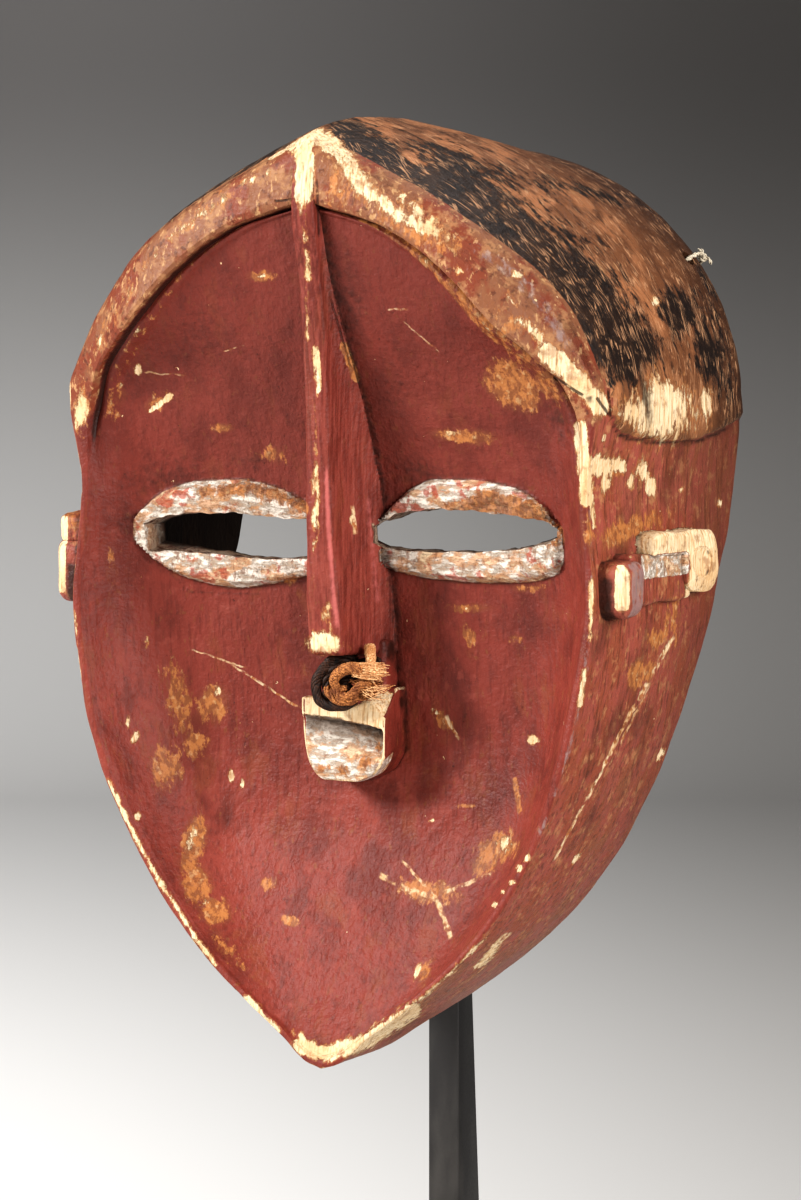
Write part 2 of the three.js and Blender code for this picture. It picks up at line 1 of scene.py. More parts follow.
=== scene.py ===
"""Looks of a carved face mask of light wood, worn red, that stands on a steel post.

Every form is worked out in millimetres in the mask's own frame: x runs to the right of someone
who looks at the face, y from the front to the back, z up from the chin. set_in_place() turns
that into metres in the frame of the whole object.
"""

from __future__ import annotations

import logging
import math
from dataclasses import dataclass, field
from enum import Enum
from typing import Any, Iterable, Sequence

import bmesh
import bpy
import numpy as np
from bmesh.types import BMesh, BMVert
from bpy.types import Curve, Material, Mesh, NodeSocket, Object
from mathutils import Matrix, Vector, kdtree, noise

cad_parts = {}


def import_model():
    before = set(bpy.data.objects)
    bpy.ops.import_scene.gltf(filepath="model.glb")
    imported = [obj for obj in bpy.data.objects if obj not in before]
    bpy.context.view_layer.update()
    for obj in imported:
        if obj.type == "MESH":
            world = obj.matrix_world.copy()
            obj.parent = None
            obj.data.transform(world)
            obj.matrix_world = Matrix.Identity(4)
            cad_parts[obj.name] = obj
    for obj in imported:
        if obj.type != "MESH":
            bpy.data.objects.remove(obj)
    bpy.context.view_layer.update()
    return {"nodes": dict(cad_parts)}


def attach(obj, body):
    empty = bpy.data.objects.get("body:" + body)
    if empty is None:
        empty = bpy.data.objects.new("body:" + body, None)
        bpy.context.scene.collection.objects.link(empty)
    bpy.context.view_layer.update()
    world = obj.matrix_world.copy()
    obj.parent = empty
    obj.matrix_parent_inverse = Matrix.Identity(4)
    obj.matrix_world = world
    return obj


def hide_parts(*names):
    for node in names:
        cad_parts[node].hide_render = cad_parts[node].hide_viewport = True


LOG = logging.getLogger("mask")
Array = np.ndarray

MM = 0.001
FRONT_TO_MIDDLE = 57.7  # mm, depth of the middle of the whole object in the mask's own frame
CHIN_ABOVE_FLOOR = 123.0  # mm
FIBRE_SEED = 11  # of the loose fibres' random ways
BODY = "root"


# Small helpers


def smooth(low: float, high: float, at: Any) -> Any:
    """Return the smooth step from 0 at low to 1 at high, for numbers or arrays."""
    share = np.clip((np.asarray(at, float) - low) / (high - low), 0.0, 1.0)
    return share * share * (3.0 - 2.0 * share)


def mix(first: Any, second: Any, share: Any) -> Any:
    """Return the blend of two values or arrays."""
    return first + (second - first) * share


def linear(hex_colour: str) -> tuple[float, float, float, float]:
    """Turn an sRGB hex colour into linear red, green, blue and a full alpha."""
    parts = [int(hex_colour[i : i + 2], 16) / 255 for i in (1, 3, 5)]
    light = [c / 12.92 if c <= 0.04045 else ((c + 0.055) / 1.055) ** 2.4 for c in parts]
    return light[0], light[1], light[2], 1.0


@dataclass(frozen=True)
class Profile:
    """A smooth function through stations that never overshoots between them."""

    stations: tuple[tuple[float, float], ...]

    def __call__(self, at: Any) -> Array:
        """Evaluate the function.

        Args:
            at: A number or an array of places.

        Returns:
            The values there, in an array of the same shape.
        """
        knot = np.array([s[0] for s in self.stations], float)
        value = np.array([s[1] for s in self.stations], float)
        step = np.diff(knot)
        slope = np.diff(value) / step
        product = slope[:-1] * slope[1:]
        total = np.where(product > 0, slope[:-1] + slope[1:], 1.0)
        inner = np.where(product > 0, 2 * product / total, 0.0)
        tangent = np.concatenate([slope[:1], inner, slope[-1:]])
        place = np.clip(np.asarray(at, float), knot[0], knot[-1])
        i = np.clip(np.searchsorted(knot, place, side="right") - 1, 0, len(step) - 1)
        h = step[i]
        s = (place - knot[i]) / h
        level = value[i] * (1 + 2 * s) * (1 - s) ** 2 + value[i + 1] * s * s * (3 - 2 * s)
        return level + h * (tangent[i] * s * (1 - s) ** 2 - tangent[i + 1] * s * s * (1 - s))


@dataclass(frozen=True)
class PhotoCamera:
    """The camera that the photograph was taken with, as fitted to the mask's outline."""

    azimuth: float = 28.0
    elevation: float = 3.5
    distance: float = 1600.0
    focal_pixels: float = 4767.4
    target: tuple[float, float, float] = (5.246, 50.0, 152.406)
    width: int = 801
    height: int = 1200
    sensor: float = 24.0

    def axes(self) -> tuple[Array, Array, Array, Array]:
        """Return the camera's place and its right, up and back directions."""
        a, e = math.radians(self.azimuth), math.radians(self.elevation)
        back = np.array([math.sin(a) * math.cos(e), -math.cos(a) * math.cos(e), math.sin(e)])
        right = np.array([math.cos(a), math.sin(a), 0.0])
        up = np.cross(back, right)
        return np.array(self.target) + back * self.distance, right, up, back

    def project(self, points: Array) -> Array:
        """Find where points of the mask lie in the photograph.

        Args:
            points: Places in millimetres, one in each row.

        Returns:
            Pixels from the left and from the top, one pair in each row.
        """
        place, right, up, back = self.axes()
        offset = points - place
        depth = -(offset @ back)
        across = self.width / 2 + self.focal_pixels * (offset @ right) / depth
        down = self.height / 2 - self.focal_pixels * (offset @ up) / depth
        return np.stack([across, down], -1)

    def at_depth(self, px: float, py: float, y: float) -> tuple[float, float, float]:
        """Find the point behind a pixel at a depth of the mask.

        Args:
            px: Pixels from the left.
            py: Pixels from the top.
            y: Depth in millimetres.

        Returns:
            The point in millimetres.
        """
        place, right, up, back = self.axes()
        across = (px - self.width / 2) / self.focal_pixels
        down = (py - self.height / 2) / self.focal_pixels
        ray = -back + right * across - up * down
        point = place + ray * ((y - place[1]) / ray[1])
        return float(point[0]), float(point[1]), float(point[2])

    def build(self) -> None:
        """Make the scene's camera."""
        place, right, up, back = self.axes()
        data = bpy.data.cameras.new("photo_camera")
        data.sensor_fit = "VERTICAL"
        data.sensor_height = self.sensor
        data.lens = self.focal_pixels * self.sensor / self.height
        data.clip_end = 50.0
        camera = bpy.data.objects.new("photo_camera", data)
        turn = Matrix((right, up, back)).transposed().to_4x4()
        camera.matrix_world = Matrix.Translation(to_metres(place)) @ turn
        bpy.context.collection.objects.link(camera)
        bpy.context.scene.camera = camera


def to_metres(point: Sequence[float]) -> Vector:
    """Return a point of the mask's own frame in metres in the object's frame."""
    x, y, z = point
    return Vector((x, y - FRONT_TO_MIDDLE, z + CHIN_ABOVE_FLOOR)) * MM


def set_in_place(mesh: Mesh) -> None:
    """Turn a mesh in millimetres of the mask's own frame into metres in place."""
    shift = Matrix.Translation((0.0, -FRONT_TO_MIDDLE * MM, CHIN_ABOVE_FLOOR * MM))
    mesh.transform(shift @ Matrix.Scale(MM, 4))


def link_object(name: str, mesh: Mesh | Curve) -> Object:
    """Put a mesh or curve in the scene under a name."""
    made = bpy.data.objects.new(name, mesh)
    bpy.context.collection.objects.link(made)
    return made


def mesh_of(bm: BMesh, name: str) -> Mesh:
    """Turn a bmesh into a mesh whose faces point outwards, and free it."""
    bmesh.ops.recalc_face_normals(bm, faces=bm.faces)
    mesh = bpy.data.meshes.new(name)
    bm.to_mesh(mesh)
    bm.free()
    return mesh


def shade(mesh: Mesh, angle: float) -> None:
    """Shade a mesh smooth, apart from edges sharper than an angle in degrees."""
    mesh.shade_smooth()
    mesh.set_sharp_from_angle(angle=math.radians(angle))


def read_points(mesh: Mesh, what: str) -> Array:
    """Return the places or the normals of a mesh's points, one in each row."""
    values = np.empty(len(mesh.vertices) * 3)
    mesh.vertices.foreach_get(what, values)
    return values.reshape(-1, 3)


def placed(mesh: Mesh, name: str, angle: float = 35.0) -> Object:
    """Set a mesh in place, shade it and put it in the scene under a name."""
    set_in_place(mesh)
    shade(mesh, angle)
    return link_object(name, mesh)


def round_edges(bm: BMesh, edges: list, worn: float) -> None:
    """Round some edges of a form by a width in millimetres."""
    bmesh.ops.bevel(
        bm, geom=edges, offset=worn, offset_type="OFFSET", affect="EDGES", segments=3, profile=0.5,
        material=-1,
    )


def fine_block(
    low: Sequence[float], high: Sequence[float], worn: Sequence[float], cuts: int = 24
) -> BMesh:
    """Make a block with many small faces and corners worn round.

    Args:
        low: Its lowest corner.
        high: Its highest corner.
        worn: How far its corners are worn round along each axis.
        cuts: How often each edge of the block is divided.

    Returns:
        The closed block.
    """
    bm = bmesh.new()
    bmesh.ops.create_cube(bm, size=2.0)
    bmesh.ops.subdivide_edges(bm, edges=bm.edges[:], cuts=cuts, use_grid_fill=True)
    middle, half = (np.array(low) + high) / 2, np.subtract(high, low) / 2
    core = half - worn
    for vert in bm.verts:
        place = np.array(vert.co) * half
        kept = np.clip(place, -core, core)
        way = (place - kept) / worn
        length = np.linalg.norm(way)
        if length > 0:
            place = kept + way / length * worn
        vert.co = place + middle
    return bm


def finish_piece(piece: Object, finish: Material, slot: str, *nodes: str) -> None:
    """Give a piece its finish, hang it on the body and hide the nodes that it replaces.

    Args:
        piece: The object, already in place.
        finish: Its material.
        slot: The record's material slot; not used.
        *nodes: The nodes that the piece replaces.
    """
    piece.data.materials.clear()
    piece.data.materials.append(finish)
    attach(piece, BODY)
    if nodes:
        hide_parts(*nodes)
    LOG.info("%s: %d faces", piece.name, len(piece.data.polygons))


# Nodes of a material


class NodeBoard:
    """The nodes of one material, and the one function that adds to them."""

    def __init__(self, name: str) -> None:
        """Start a material with a surface shader and nothing else."""
        self.material = bpy.data.materials.new(name)
        self.material.use_nodes = True
        self.tree = self.material.node_tree
        self.tree.nodes.clear()
        output = self.tree.nodes.new("ShaderNodeOutputMaterial")
        self.surface = self.tree.nodes.new("ShaderNodeBsdfPrincipled")
        self.tree.links.new(self.surface.outputs[0], output.inputs["Surface"])

    def add(self, kind: str, inputs: dict | None = None, out: Any = 0, **settings: Any) -> Any:
        """Add a node with its settings and links.

        Args:
            kind: The node's type, without the leading words that all shader nodes share.
            inputs: For each input socket, a value or the output socket that feeds it.
            out: Which output to return.
            **settings: Properties of the node.

        Returns:
            The output socket.
        """
        node = self.tree.nodes.new("ShaderNode" + kind)
        for key, value in settings.items():
            setattr(node, key, value)
        for key, value in (inputs or {}).items():
            self.feed(node.inputs[key], value)
        return node.outputs[out]

    def feed(self, socket: NodeSocket, value: Any) -> None:
        """Link an output to a socket, or set the socket's value; text is a hex colour."""
        if isinstance(value, NodeSocket):
            self.tree.links.new(value, socket)
        else:
            socket.default_value = linear(value) if isinstance(value, str) else value

    def both(self, *shares: Any) -> Any:
        """Return how far all of some shares hold: their product."""
        return self.joined("MULTIPLY", shares)

    def either(self, *shares: Any) -> Any:
        """Return the largest of some shares."""
        return self.joined("MAXIMUM", shares)

    def joined(self, how: str, shares: Sequence[Any]) -> Any:
        """Join some shares two by two, in their order."""
        total = shares[0]
        for share in shares[1:]:
            total = self.add("Math", {0: total, 1: share}, operation=how)
        return total

    def plus(self, amount: Any, value: Any, times: float = 1.0) -> Any:
        """Return an amount with so many times a value added."""
        return self.add("Math", {0: value, 1: times, 2: amount}, operation="MULTIPLY_ADD")

    def apart(self, first: Any, second: Any) -> Any:
        """Return how far two values lie apart."""
        gap = self.add("Math", {0: first, 1: second}, operation="SUBTRACT")
        return self.add("Math", {0: gap}, operation="ABSOLUTE")

    def left_of(self, share: Any) -> Any:
        """Return what a share leaves of the whole."""
        return self.add("Math", {0: 1.0, 1: share}, operation="SUBTRACT", use_clamp=True)

    def lay(self, below: Any, colour: Any, share: Any, how: str = "MIX") -> Any:
        """Lay a colour over another by a share."""
        return self.add("Mix", {0: share, 6: below, 7: colour}, out=2, data_type="RGBA", blend_type=how)

    def rise(self, value: Any, low: float, high: float) -> Any:
        """Return a value spread smoothly from 0 at low to 1 at high."""
        return self.add("MapRange", {0: value, 1: low, 2: high}, interpolation_type="SMOOTHSTEP")

    def grain(
        self, place: Any, size_mm: float, detail: float = 4.0,
        stretch: Sequence[float] = (1, 1, 1), rough: float = 0.5,
    ) -> Any:
        """Return noise whose marks are about a size across, longer where stretched.

        Args:
            place: The coordinates that the pattern is read at.
            size_mm: Size of a mark.
            detail: How much finer detail is added.
            stretch: How many times longer a mark is along each axis.
            rough: How strong the finer detail is.

        Returns:
            The noise value, about 0.5 on average.
        """
        scale = tuple(1.0 / (size_mm * MM * s) for s in stretch)
        spread = self.add("Mapping", {"Vector": place, "Scale": scale})
        inputs = {"Vector": spread, "Scale": 1.0, "Detail": detail, "Roughness": rough}
        return self.add("TexNoise", inputs)

    def stored(self, name: str, out: Any = 2) -> Any:
        """Return what the piece's mesh stores under a name, as a number unless told otherwise."""
        return self.add("Attribute", attribute_name=name, out=out)

    def worn_edge(self, amount: Any, breakup: Any, reach: float, crisp: float = 0.04) -> Any:
        """Return 1 where an amount, broken up by noise, passes a half.

        Args:
            amount: The smooth amount, from 0 to 1.
            breakup: Noise around 0.5.
            reach: How far the noise moves the edge.
            crisp: How soft the edge is.

        Returns:
            The share, from 0 to 1.
        """
        edge = 0.5 + reach / 2
        return self.rise(self.plus(amount, breakup, reach), edge - crisp, edge + crisp)

    def set_surface(self, **sockets: Any) -> None:
        """Feed the surface shader's sockets, named with underscores for spaces."""
        for name, value in sockets.items():
            self.feed(self.surface.inputs[name.replace("_", " ")], value)

    def relief(self, height: Any, depth_mm: float, before: Any = None) -> Any:
        """Return a normal bent by a height of 0 to 1 that stands for a depth."""
        inputs = {"Height": height, "Strength": 1.0, "Distance": depth_mm * MM}
        if before is not None:
            inputs["Normal"] = before
        return self.add("Bump", inputs)


# The carved form


class Zone(Enum):
    """Where a point of the mask's surface lies."""

    FIELD = 0
    RIM = 1
    WALL = 2
    REAR = 3
    HOLLOW = 4
    NOSE = 5
    MOUTH = 6
    BRIDGE = 7
    EAR = 8
    RECESS = 9
    SLIT = 10


@dataclass
class Sheet:
    """A closed surface in rows of points, with where each point lies."""

    points: Array
    zone: Array
    run: Array
    across: Array

    @classmethod
    def of_zone(cls, points: Array, zone: Zone) -> Sheet:
        """Return a sheet that lies in one zone."""
        flat = np.zeros(points.shape[:2])
        return cls(points, flat + zone.value, flat, flat)

    def bmesh(self) -> BMesh:
        """Make the surface from a grid whose sides are sewn together."""
        rows, columns, _ = self.points.shape
        bm = bmesh.new()
        bmesh.ops.create_grid(bm, x_segments=columns, y_segments=rows - 1, size=1.0)
        wrapped = np.concatenate([self.points, self.points[:, :1]], axis=1).reshape(-1, 3)
        for vert, place in zip(bm.verts, wrapped):
            vert.co = place
        bmesh.ops.remove_doubles(bm, verts=bm.verts, dist=1e-4)
        bmesh.ops.dissolve_degenerate(bm, dist=1e-5, edges=bm.edges)
        rim = [edge for edge in bm.edges if edge.is_boundary]
        if rim:
            bmesh.ops.holes_fill(bm, edges=rim, sides=0)
        return bm


def mirrored(half: Array) -> Array:
    """Add the left half to the right half of every row of points."""
    other = half[:, 1:-1][:, ::-1] * np.array([-1.0, 1.0, 1.0])
    return np.concatenate([half, other], axis=1)


def mirrored_values(half: Array) -> Array:
    """Repeat the values of the right half of every row on the left half."""
    return np.concatenate([half, half[:, 1:-1][:, ::-1]], axis=1)


@dataclass
class MaskForm:
    """The mask's carved form: its driving sizes and the lines that it follows."""

    border_top: float = 306.0
    temple: float = 222.0
    temple_half_width: float = 99.0
    rear_depth_top: float = 116.0
    rear_half_width: float = 98.6
    rear_arch_rise: float = 83.6
    rear_chin_lift: float = 1.5
    wall: float = 9.0
    face_wall: float = 9.5
    belly: float = 1.5
    cap_step: float = 1.6
    crown_step: float = 0.5
    border_foot: float = 200.0
    border_step: float = 4.0
    rim: float = 4.0
    hollow_floor: float = 10.6

    edge_half_width: Profile = Profile((
        (0, 0), (2, 6), (10, 16), (20, 29.6), (40, 52), (60, 67.6), (80, 79), (100, 87),
        (120, 92.2), (155, 97.4), (190, 94.6), (222, 99), (235, 94.8), (250, 86.7),
        (265, 72.6), (285, 42.8), (306, 0),
    ))
    edge_depth: Profile = Profile((
        (0, 4), (30, 7), (60, 8.5), (110, 5.5), (180, 8.5), (250, 8.5), (280, -2.5), (306, -4),
    ))
    border_height: Profile = Profile((
        (200, 200), (222, 219.5), (245, 236), (265, 252), (285, 270), (306, 284),
    ))
    border_half_width: Profile = Profile((
        (190, 90.6), (208, 91.2), (225, 86.4), (245, 66.8), (262, 49.6), (276, 27.8), (284, 0),
    ))
    border_depth: Profile = Profile((
        (190, 8.3), (215, 8), (225, 5), (235, -1.5), (247, -7.5), (284, -8),
    ))
    middle_depth: Profile = Profile((
        (0, 4.6), (20, 10), (50, 23), (80, 33), (107, 35.5), (150, 31.5), (187, 26),
        (220, 15.8), (248, 4.7), (264, -0.2), (284, -5),
    ))
    dish_power: Profile = Profile(((0, 3), (60, 7), (200, 7), (260, 4)))
    rear_flare: Profile = Profile((
        (0, 0), (40, 1), (100, 1.5), (140, 1.2), (160, 1.2), (178, 3.4), (190, 4.4),
        (206, 2.8), (222, -0.4),
    ))
    rear_depth: Profile = Profile((
        (0, 38), (10, 46), (20, 54), (40, 64.5), (60, 73), (100, 81), (140, 94), (160, 102),
        (175, 109), (190, 113), (205, 115.5), (222, 116),
    ))
    crest_rise: Profile = Profile((
        (0, 0), (0.1, 3.6), (0.21, 5.7), (0.3, 6.8), (0.55, 7.6), (0.66, 6.2), (0.79, 3.6),
        (0.88, 1.6), (1, 0),
    ))
    cap_foot: Profile = Profile((
        (0, 232), (0.06, 223), (0.09, 214), (0.16, 210), (0.39, 207.6), (0.61, 206.7),
        (0.8, 209), (1, 213),
    ))

    def __post_init__(self) -> None:
        """Measure the length along the front edge."""
        self.edge_heights = np.linspace(0.0, self.border_top, 301)
        steps = np.hypot(np.diff(self.edge_heights), np.diff(self.edge_half_width(self.edge_heights)))
        self.edge_lengths = np.concatenate([[0.0], np.cumsum(steps)])

    def edge_length(self, z: Any) -> Array:
        """Return the length along the front edge from the chin up to a height."""
        return np.interp(z, self.edge_heights, self.edge_lengths)

    def height_at(self, length: Any) -> Array:
        """Return the height at a length along the front edge."""
        return np.interp(length, self.edge_lengths, self.edge_heights)

    def chin_share(self, z: Any) -> Array:
        """Return how much a height belongs to the chin, from 1 at the tip to 0."""
        return 1.0 - smooth(0, 60, z)

    def inner_height(self, z: Array) -> Array:
        """Return the height of the rim's inner line that belongs to an edge height."""
        low = z + self.rim * self.chin_share(z)
        return np.where(z < self.border_foot, low, self.border_height(z))

    def inner_half_width(self, z: Array) -> Array:
        """Return the half-width of the face field at a height."""
        chin = self.chin_share(z)
        low = np.maximum(0.0, self.edge_half_width(z - self.rim * chin) - self.rim * (1 - chin))
        return np.where(z < 190, low, self.border_half_width(z))

    def inner_depth(self, z: Array) -> Array:
        """Return the depth of the face field's outer line at a height."""
        step = mix(1.7, self.border_step, smooth(200, 225, z))
        return np.where(z < 190, self.edge_depth(z) + 1.5, self.border_depth(z) + step)

    def field_depth(self, x: Array, z: Array) -> Array:
        """Return the depth of the dished face field."""
        edge = self.inner_depth(z)
        share = np.minimum(1.0, np.abs(x) / np.maximum(self.inner_half_width(z), 1.0))
        return edge + (self.middle_depth(z) - edge) * (1 - share ** self.dish_power(z))

    def rear_point(self, z: Array) -> Array:
        """Return the outer rear rim's point for each edge height."""
        lift = self.rear_chin_lift * np.maximum(0.0, 1 - z / 40) ** 2
        low = np.stack([self.edge_half_width(z) + self.rear_flare(z), self.rear_depth(z), z + lift], -1)
        start, end = self.edge_length(self.temple), self.edge_length(self.border_top)
        angle = math.pi / 2 * (self.edge_length(z) - start) / (end - start)
        high = np.stack(
            [
                self.rear_half_width * np.cos(angle),
                np.full_like(z, self.rear_depth_top),
                self.temple + self.rear_arch_rise * np.sin(angle),
            ],
            -1,
        )
        return np.where((z <= self.temple)[..., None], low, high)

    def outward(self, z: Array) -> Array:
        """Return the direction out of the front edge at each height, square to the depth."""
        reach = np.minimum(0.5, np.minimum(z, self.border_top - z))
        run = self.edge_half_width(z + reach) - self.edge_half_width(z - reach)
        way = np.stack([2 * reach, np.zeros_like(z), -run], -1)
        way[z <= 0] = (0.0, 0.0, -1.0)
        way[z >= self.border_top] = (0.0, 0.0, 1.0)
        return way / np.linalg.norm(way, axis=-1, keepdims=True)

    def wall_points(self, z: Array, v: Array) -> Array:
        """Return the side wall's and crown's points.

        Args:
            z: Height on the front edge of each row.
            v: Share of the way from the front edge to the rear rim of each column.

        Returns:
            An array of rows, columns and three coordinates.
        """
        front = np.stack([self.edge_half_width(z), self.edge_depth(z), z], -1)[:, None]
        rear = self.rear_point(z)[:, None]
        v = np.asarray(v, float)[None, :]
        point = front + (rear - front) * v[..., None]
        rows = z[:, None]
        crown = smooth(245, 303, rows)
        belly = self.belly * 4 * v * (1 - v) * (1 - crown) * smooth(0, 40, rows)
        rise = self.crest_rise(v) * crown + belly + self.cap_height(point[..., 2], v)
        point = point + self.outward(z)[:, None] * rise[..., None]
        ends = (z <= 0) | (z >= self.border_top)
        point[ends, :, 0] = 0.0
        return point

    def cap_height(self, z: Array, v: Array) -> Array:
        """Return how far the cap stands proud at a height and a share of the depth."""
        step = mix(self.cap_step, self.crown_step, smooth(228, 262, z))
        foot = self.cap_foot(v)
        return step * smooth(0, 1.6, z - foot) * smooth(0.03, 0.06, v)

    def drawn_in(self, points: Array) -> Array:
        """Return points of the outer form drawn in by the wall's thickness."""
        width = 1 - self.wall / self.temple_half_width
        height = (self.border_top - 2 * self.wall - 2.4) / self.border_top
        return points * np.array([width, 1.0, height]) + np.array([0.0, 0.0, self.hollow_floor])


@dataclass
class Eye:
    """One eye: the heights of its lines at each distance from the middle of the face."""

    side: int
    lid_outer: float
    slit_outer: float
    upper_lid: Profile
    lower_lid: Profile
    slit_top: Profile
    slit_floor: Profile
    inner: float = 10.0
    slit_inner: float = 9.3
    lid_raise: float = 3.2

    def raise_at(self, x: Array, z: Array) -> Array:
        """Return how far the lids stand proud of the face field."""
        out = x * self.side
        upper, lower = self.upper_lid(out), self.lower_lid(out)
        top, floor = self.slit_top(out), self.slit_floor(out)
        high = (upper - z) / np.maximum(upper - top, 1.0)
        low = (z - lower) / np.maximum(floor - lower, 1.0)
        upper_form = smooth(0.0, 0.34, high) * (1 - 0.35 * smooth(0.55, 1.25, high))
        lower_form = smooth(0.0, 0.26, low) * (1 - 0.3 * smooth(0.75, 1.2, low))
        form = np.where(z > (top + floor) / 2, upper_form, lower_form)
        within = (z < upper) & (z > lower) & (out > self.inner)
        end = smooth(self.lid_outer, self.lid_outer - 3.5, out)
        return np.where(within, form * end, 0.0) * self.lid_raise

    def cutter(self, form: MaskForm) -> Sheet:
        """Return the closed form that cuts the slit, a little wavy like a knife cut.

        It starts just in front of the face field, so it passes behind the nose's flank.

        Args:
            form: The mask's form.

        Returns:
            The cutting form.
        """
        outs = np.linspace(self.slit_inner, self.slit_outer, 64)
        wave = 0.25 * np.sin(outs * 0.45) + 0.15 * np.sin(outs * 1.1 + 2)
        round_end = 1.6 * (1 - smooth(0, 2.2, outs - self.slit_inner))
        top = self.slit_top(outs) + wave - round_end
        floor = self.slit_floor(outs) - 0.7 * wave + round_end
        start = form.field_depth(outs, (top + floor) / 2) - self.lid_raise - 2.0
        depths = start[:, None] + np.linspace(0, 42, 16)[None, :]
        behind = np.linspace(0, 42, 16)[None, :]
        rise = 3.2 * smooth(45, self.slit_outer, outs)[:, None] * smooth(6, 20, behind)
        near_nose = np.clip(1 - (outs - self.slit_inner) / 6, 0, 1)[:, None]
        undercut = 0.6 * np.clip(behind - 4, 0, 10) * near_nose
        x = self.side * (outs[:, None] - undercut)
        lower = np.stack([x, depths, np.minimum(floor[:, None] + rise, top[:, None] - 1.2)], -1)
        upper = np.stack([x, depths, np.broadcast_to(top[:, None], rise.shape)], -1)
        points = np.concatenate([lower, upper[:, ::-1]], axis=1)
        return Sheet.of_zone(points, Zone.SLIT)


RIGHT_EYE = Eye(
    side=1,
    lid_outer=81,
    slit_outer=78.5,
    upper_lid=Profile((
        (10, 181), (12.3, 183.1), (22.3, 191.2), (31.6, 194.6), (44.6, 194.8), (59.6, 192.8),
        (71.7, 187.3), (77.6, 181.4), (81, 177),
    )),
    lower_lid=Profile((
        (10, 164), (16, 162.4), (29.8, 160.4), (44.6, 159.8), (59.6, 160.3), (76.2, 163.5), (81, 169),
    )),
    slit_top=Profile((
        (12, 180), (22.3, 183.6), (37.2, 184.5), (55.8, 183.3), (71.7, 181.5), (78.5, 179.4),
    )),
    slit_floor=Profile((
        (12, 171.2), (26, 170.2), (48, 170.4), (63.5, 171.8), (71.7, 173.7), (78.5, 176),
    )),
)
LEFT_EYE = Eye(
    side=-1,
    lid_outer=82,
    slit_outer=77,
    upper_lid=Profile((
        (10, 182), (18.3, 186.4), (26.7, 190.6), (42.1, 193.4), (57.2, 192.8), (69.7, 189.6),
        (78.3, 182.8), (82, 177),
    )),
    lower_lid=Profile((
        (10, 162), (18, 160.5), (30.6, 157.8), (47.9, 155.6), (55.5, 156.5), (66.4, 159.3),
        (75.3, 165.3), (82, 172),
    )),
    slit_top=Profile(((12, 180), (30.6, 180.5), (44, 181.6), (66.3, 180.9), (77, 177.5))),
    slit_floor=Profile(((12, 167.2), (34.4, 166.1), (51.7, 167.3), (62.8, 167.8), (77, 168.4))),
)
EYES = (RIGHT_EYE, LEFT_EYE)


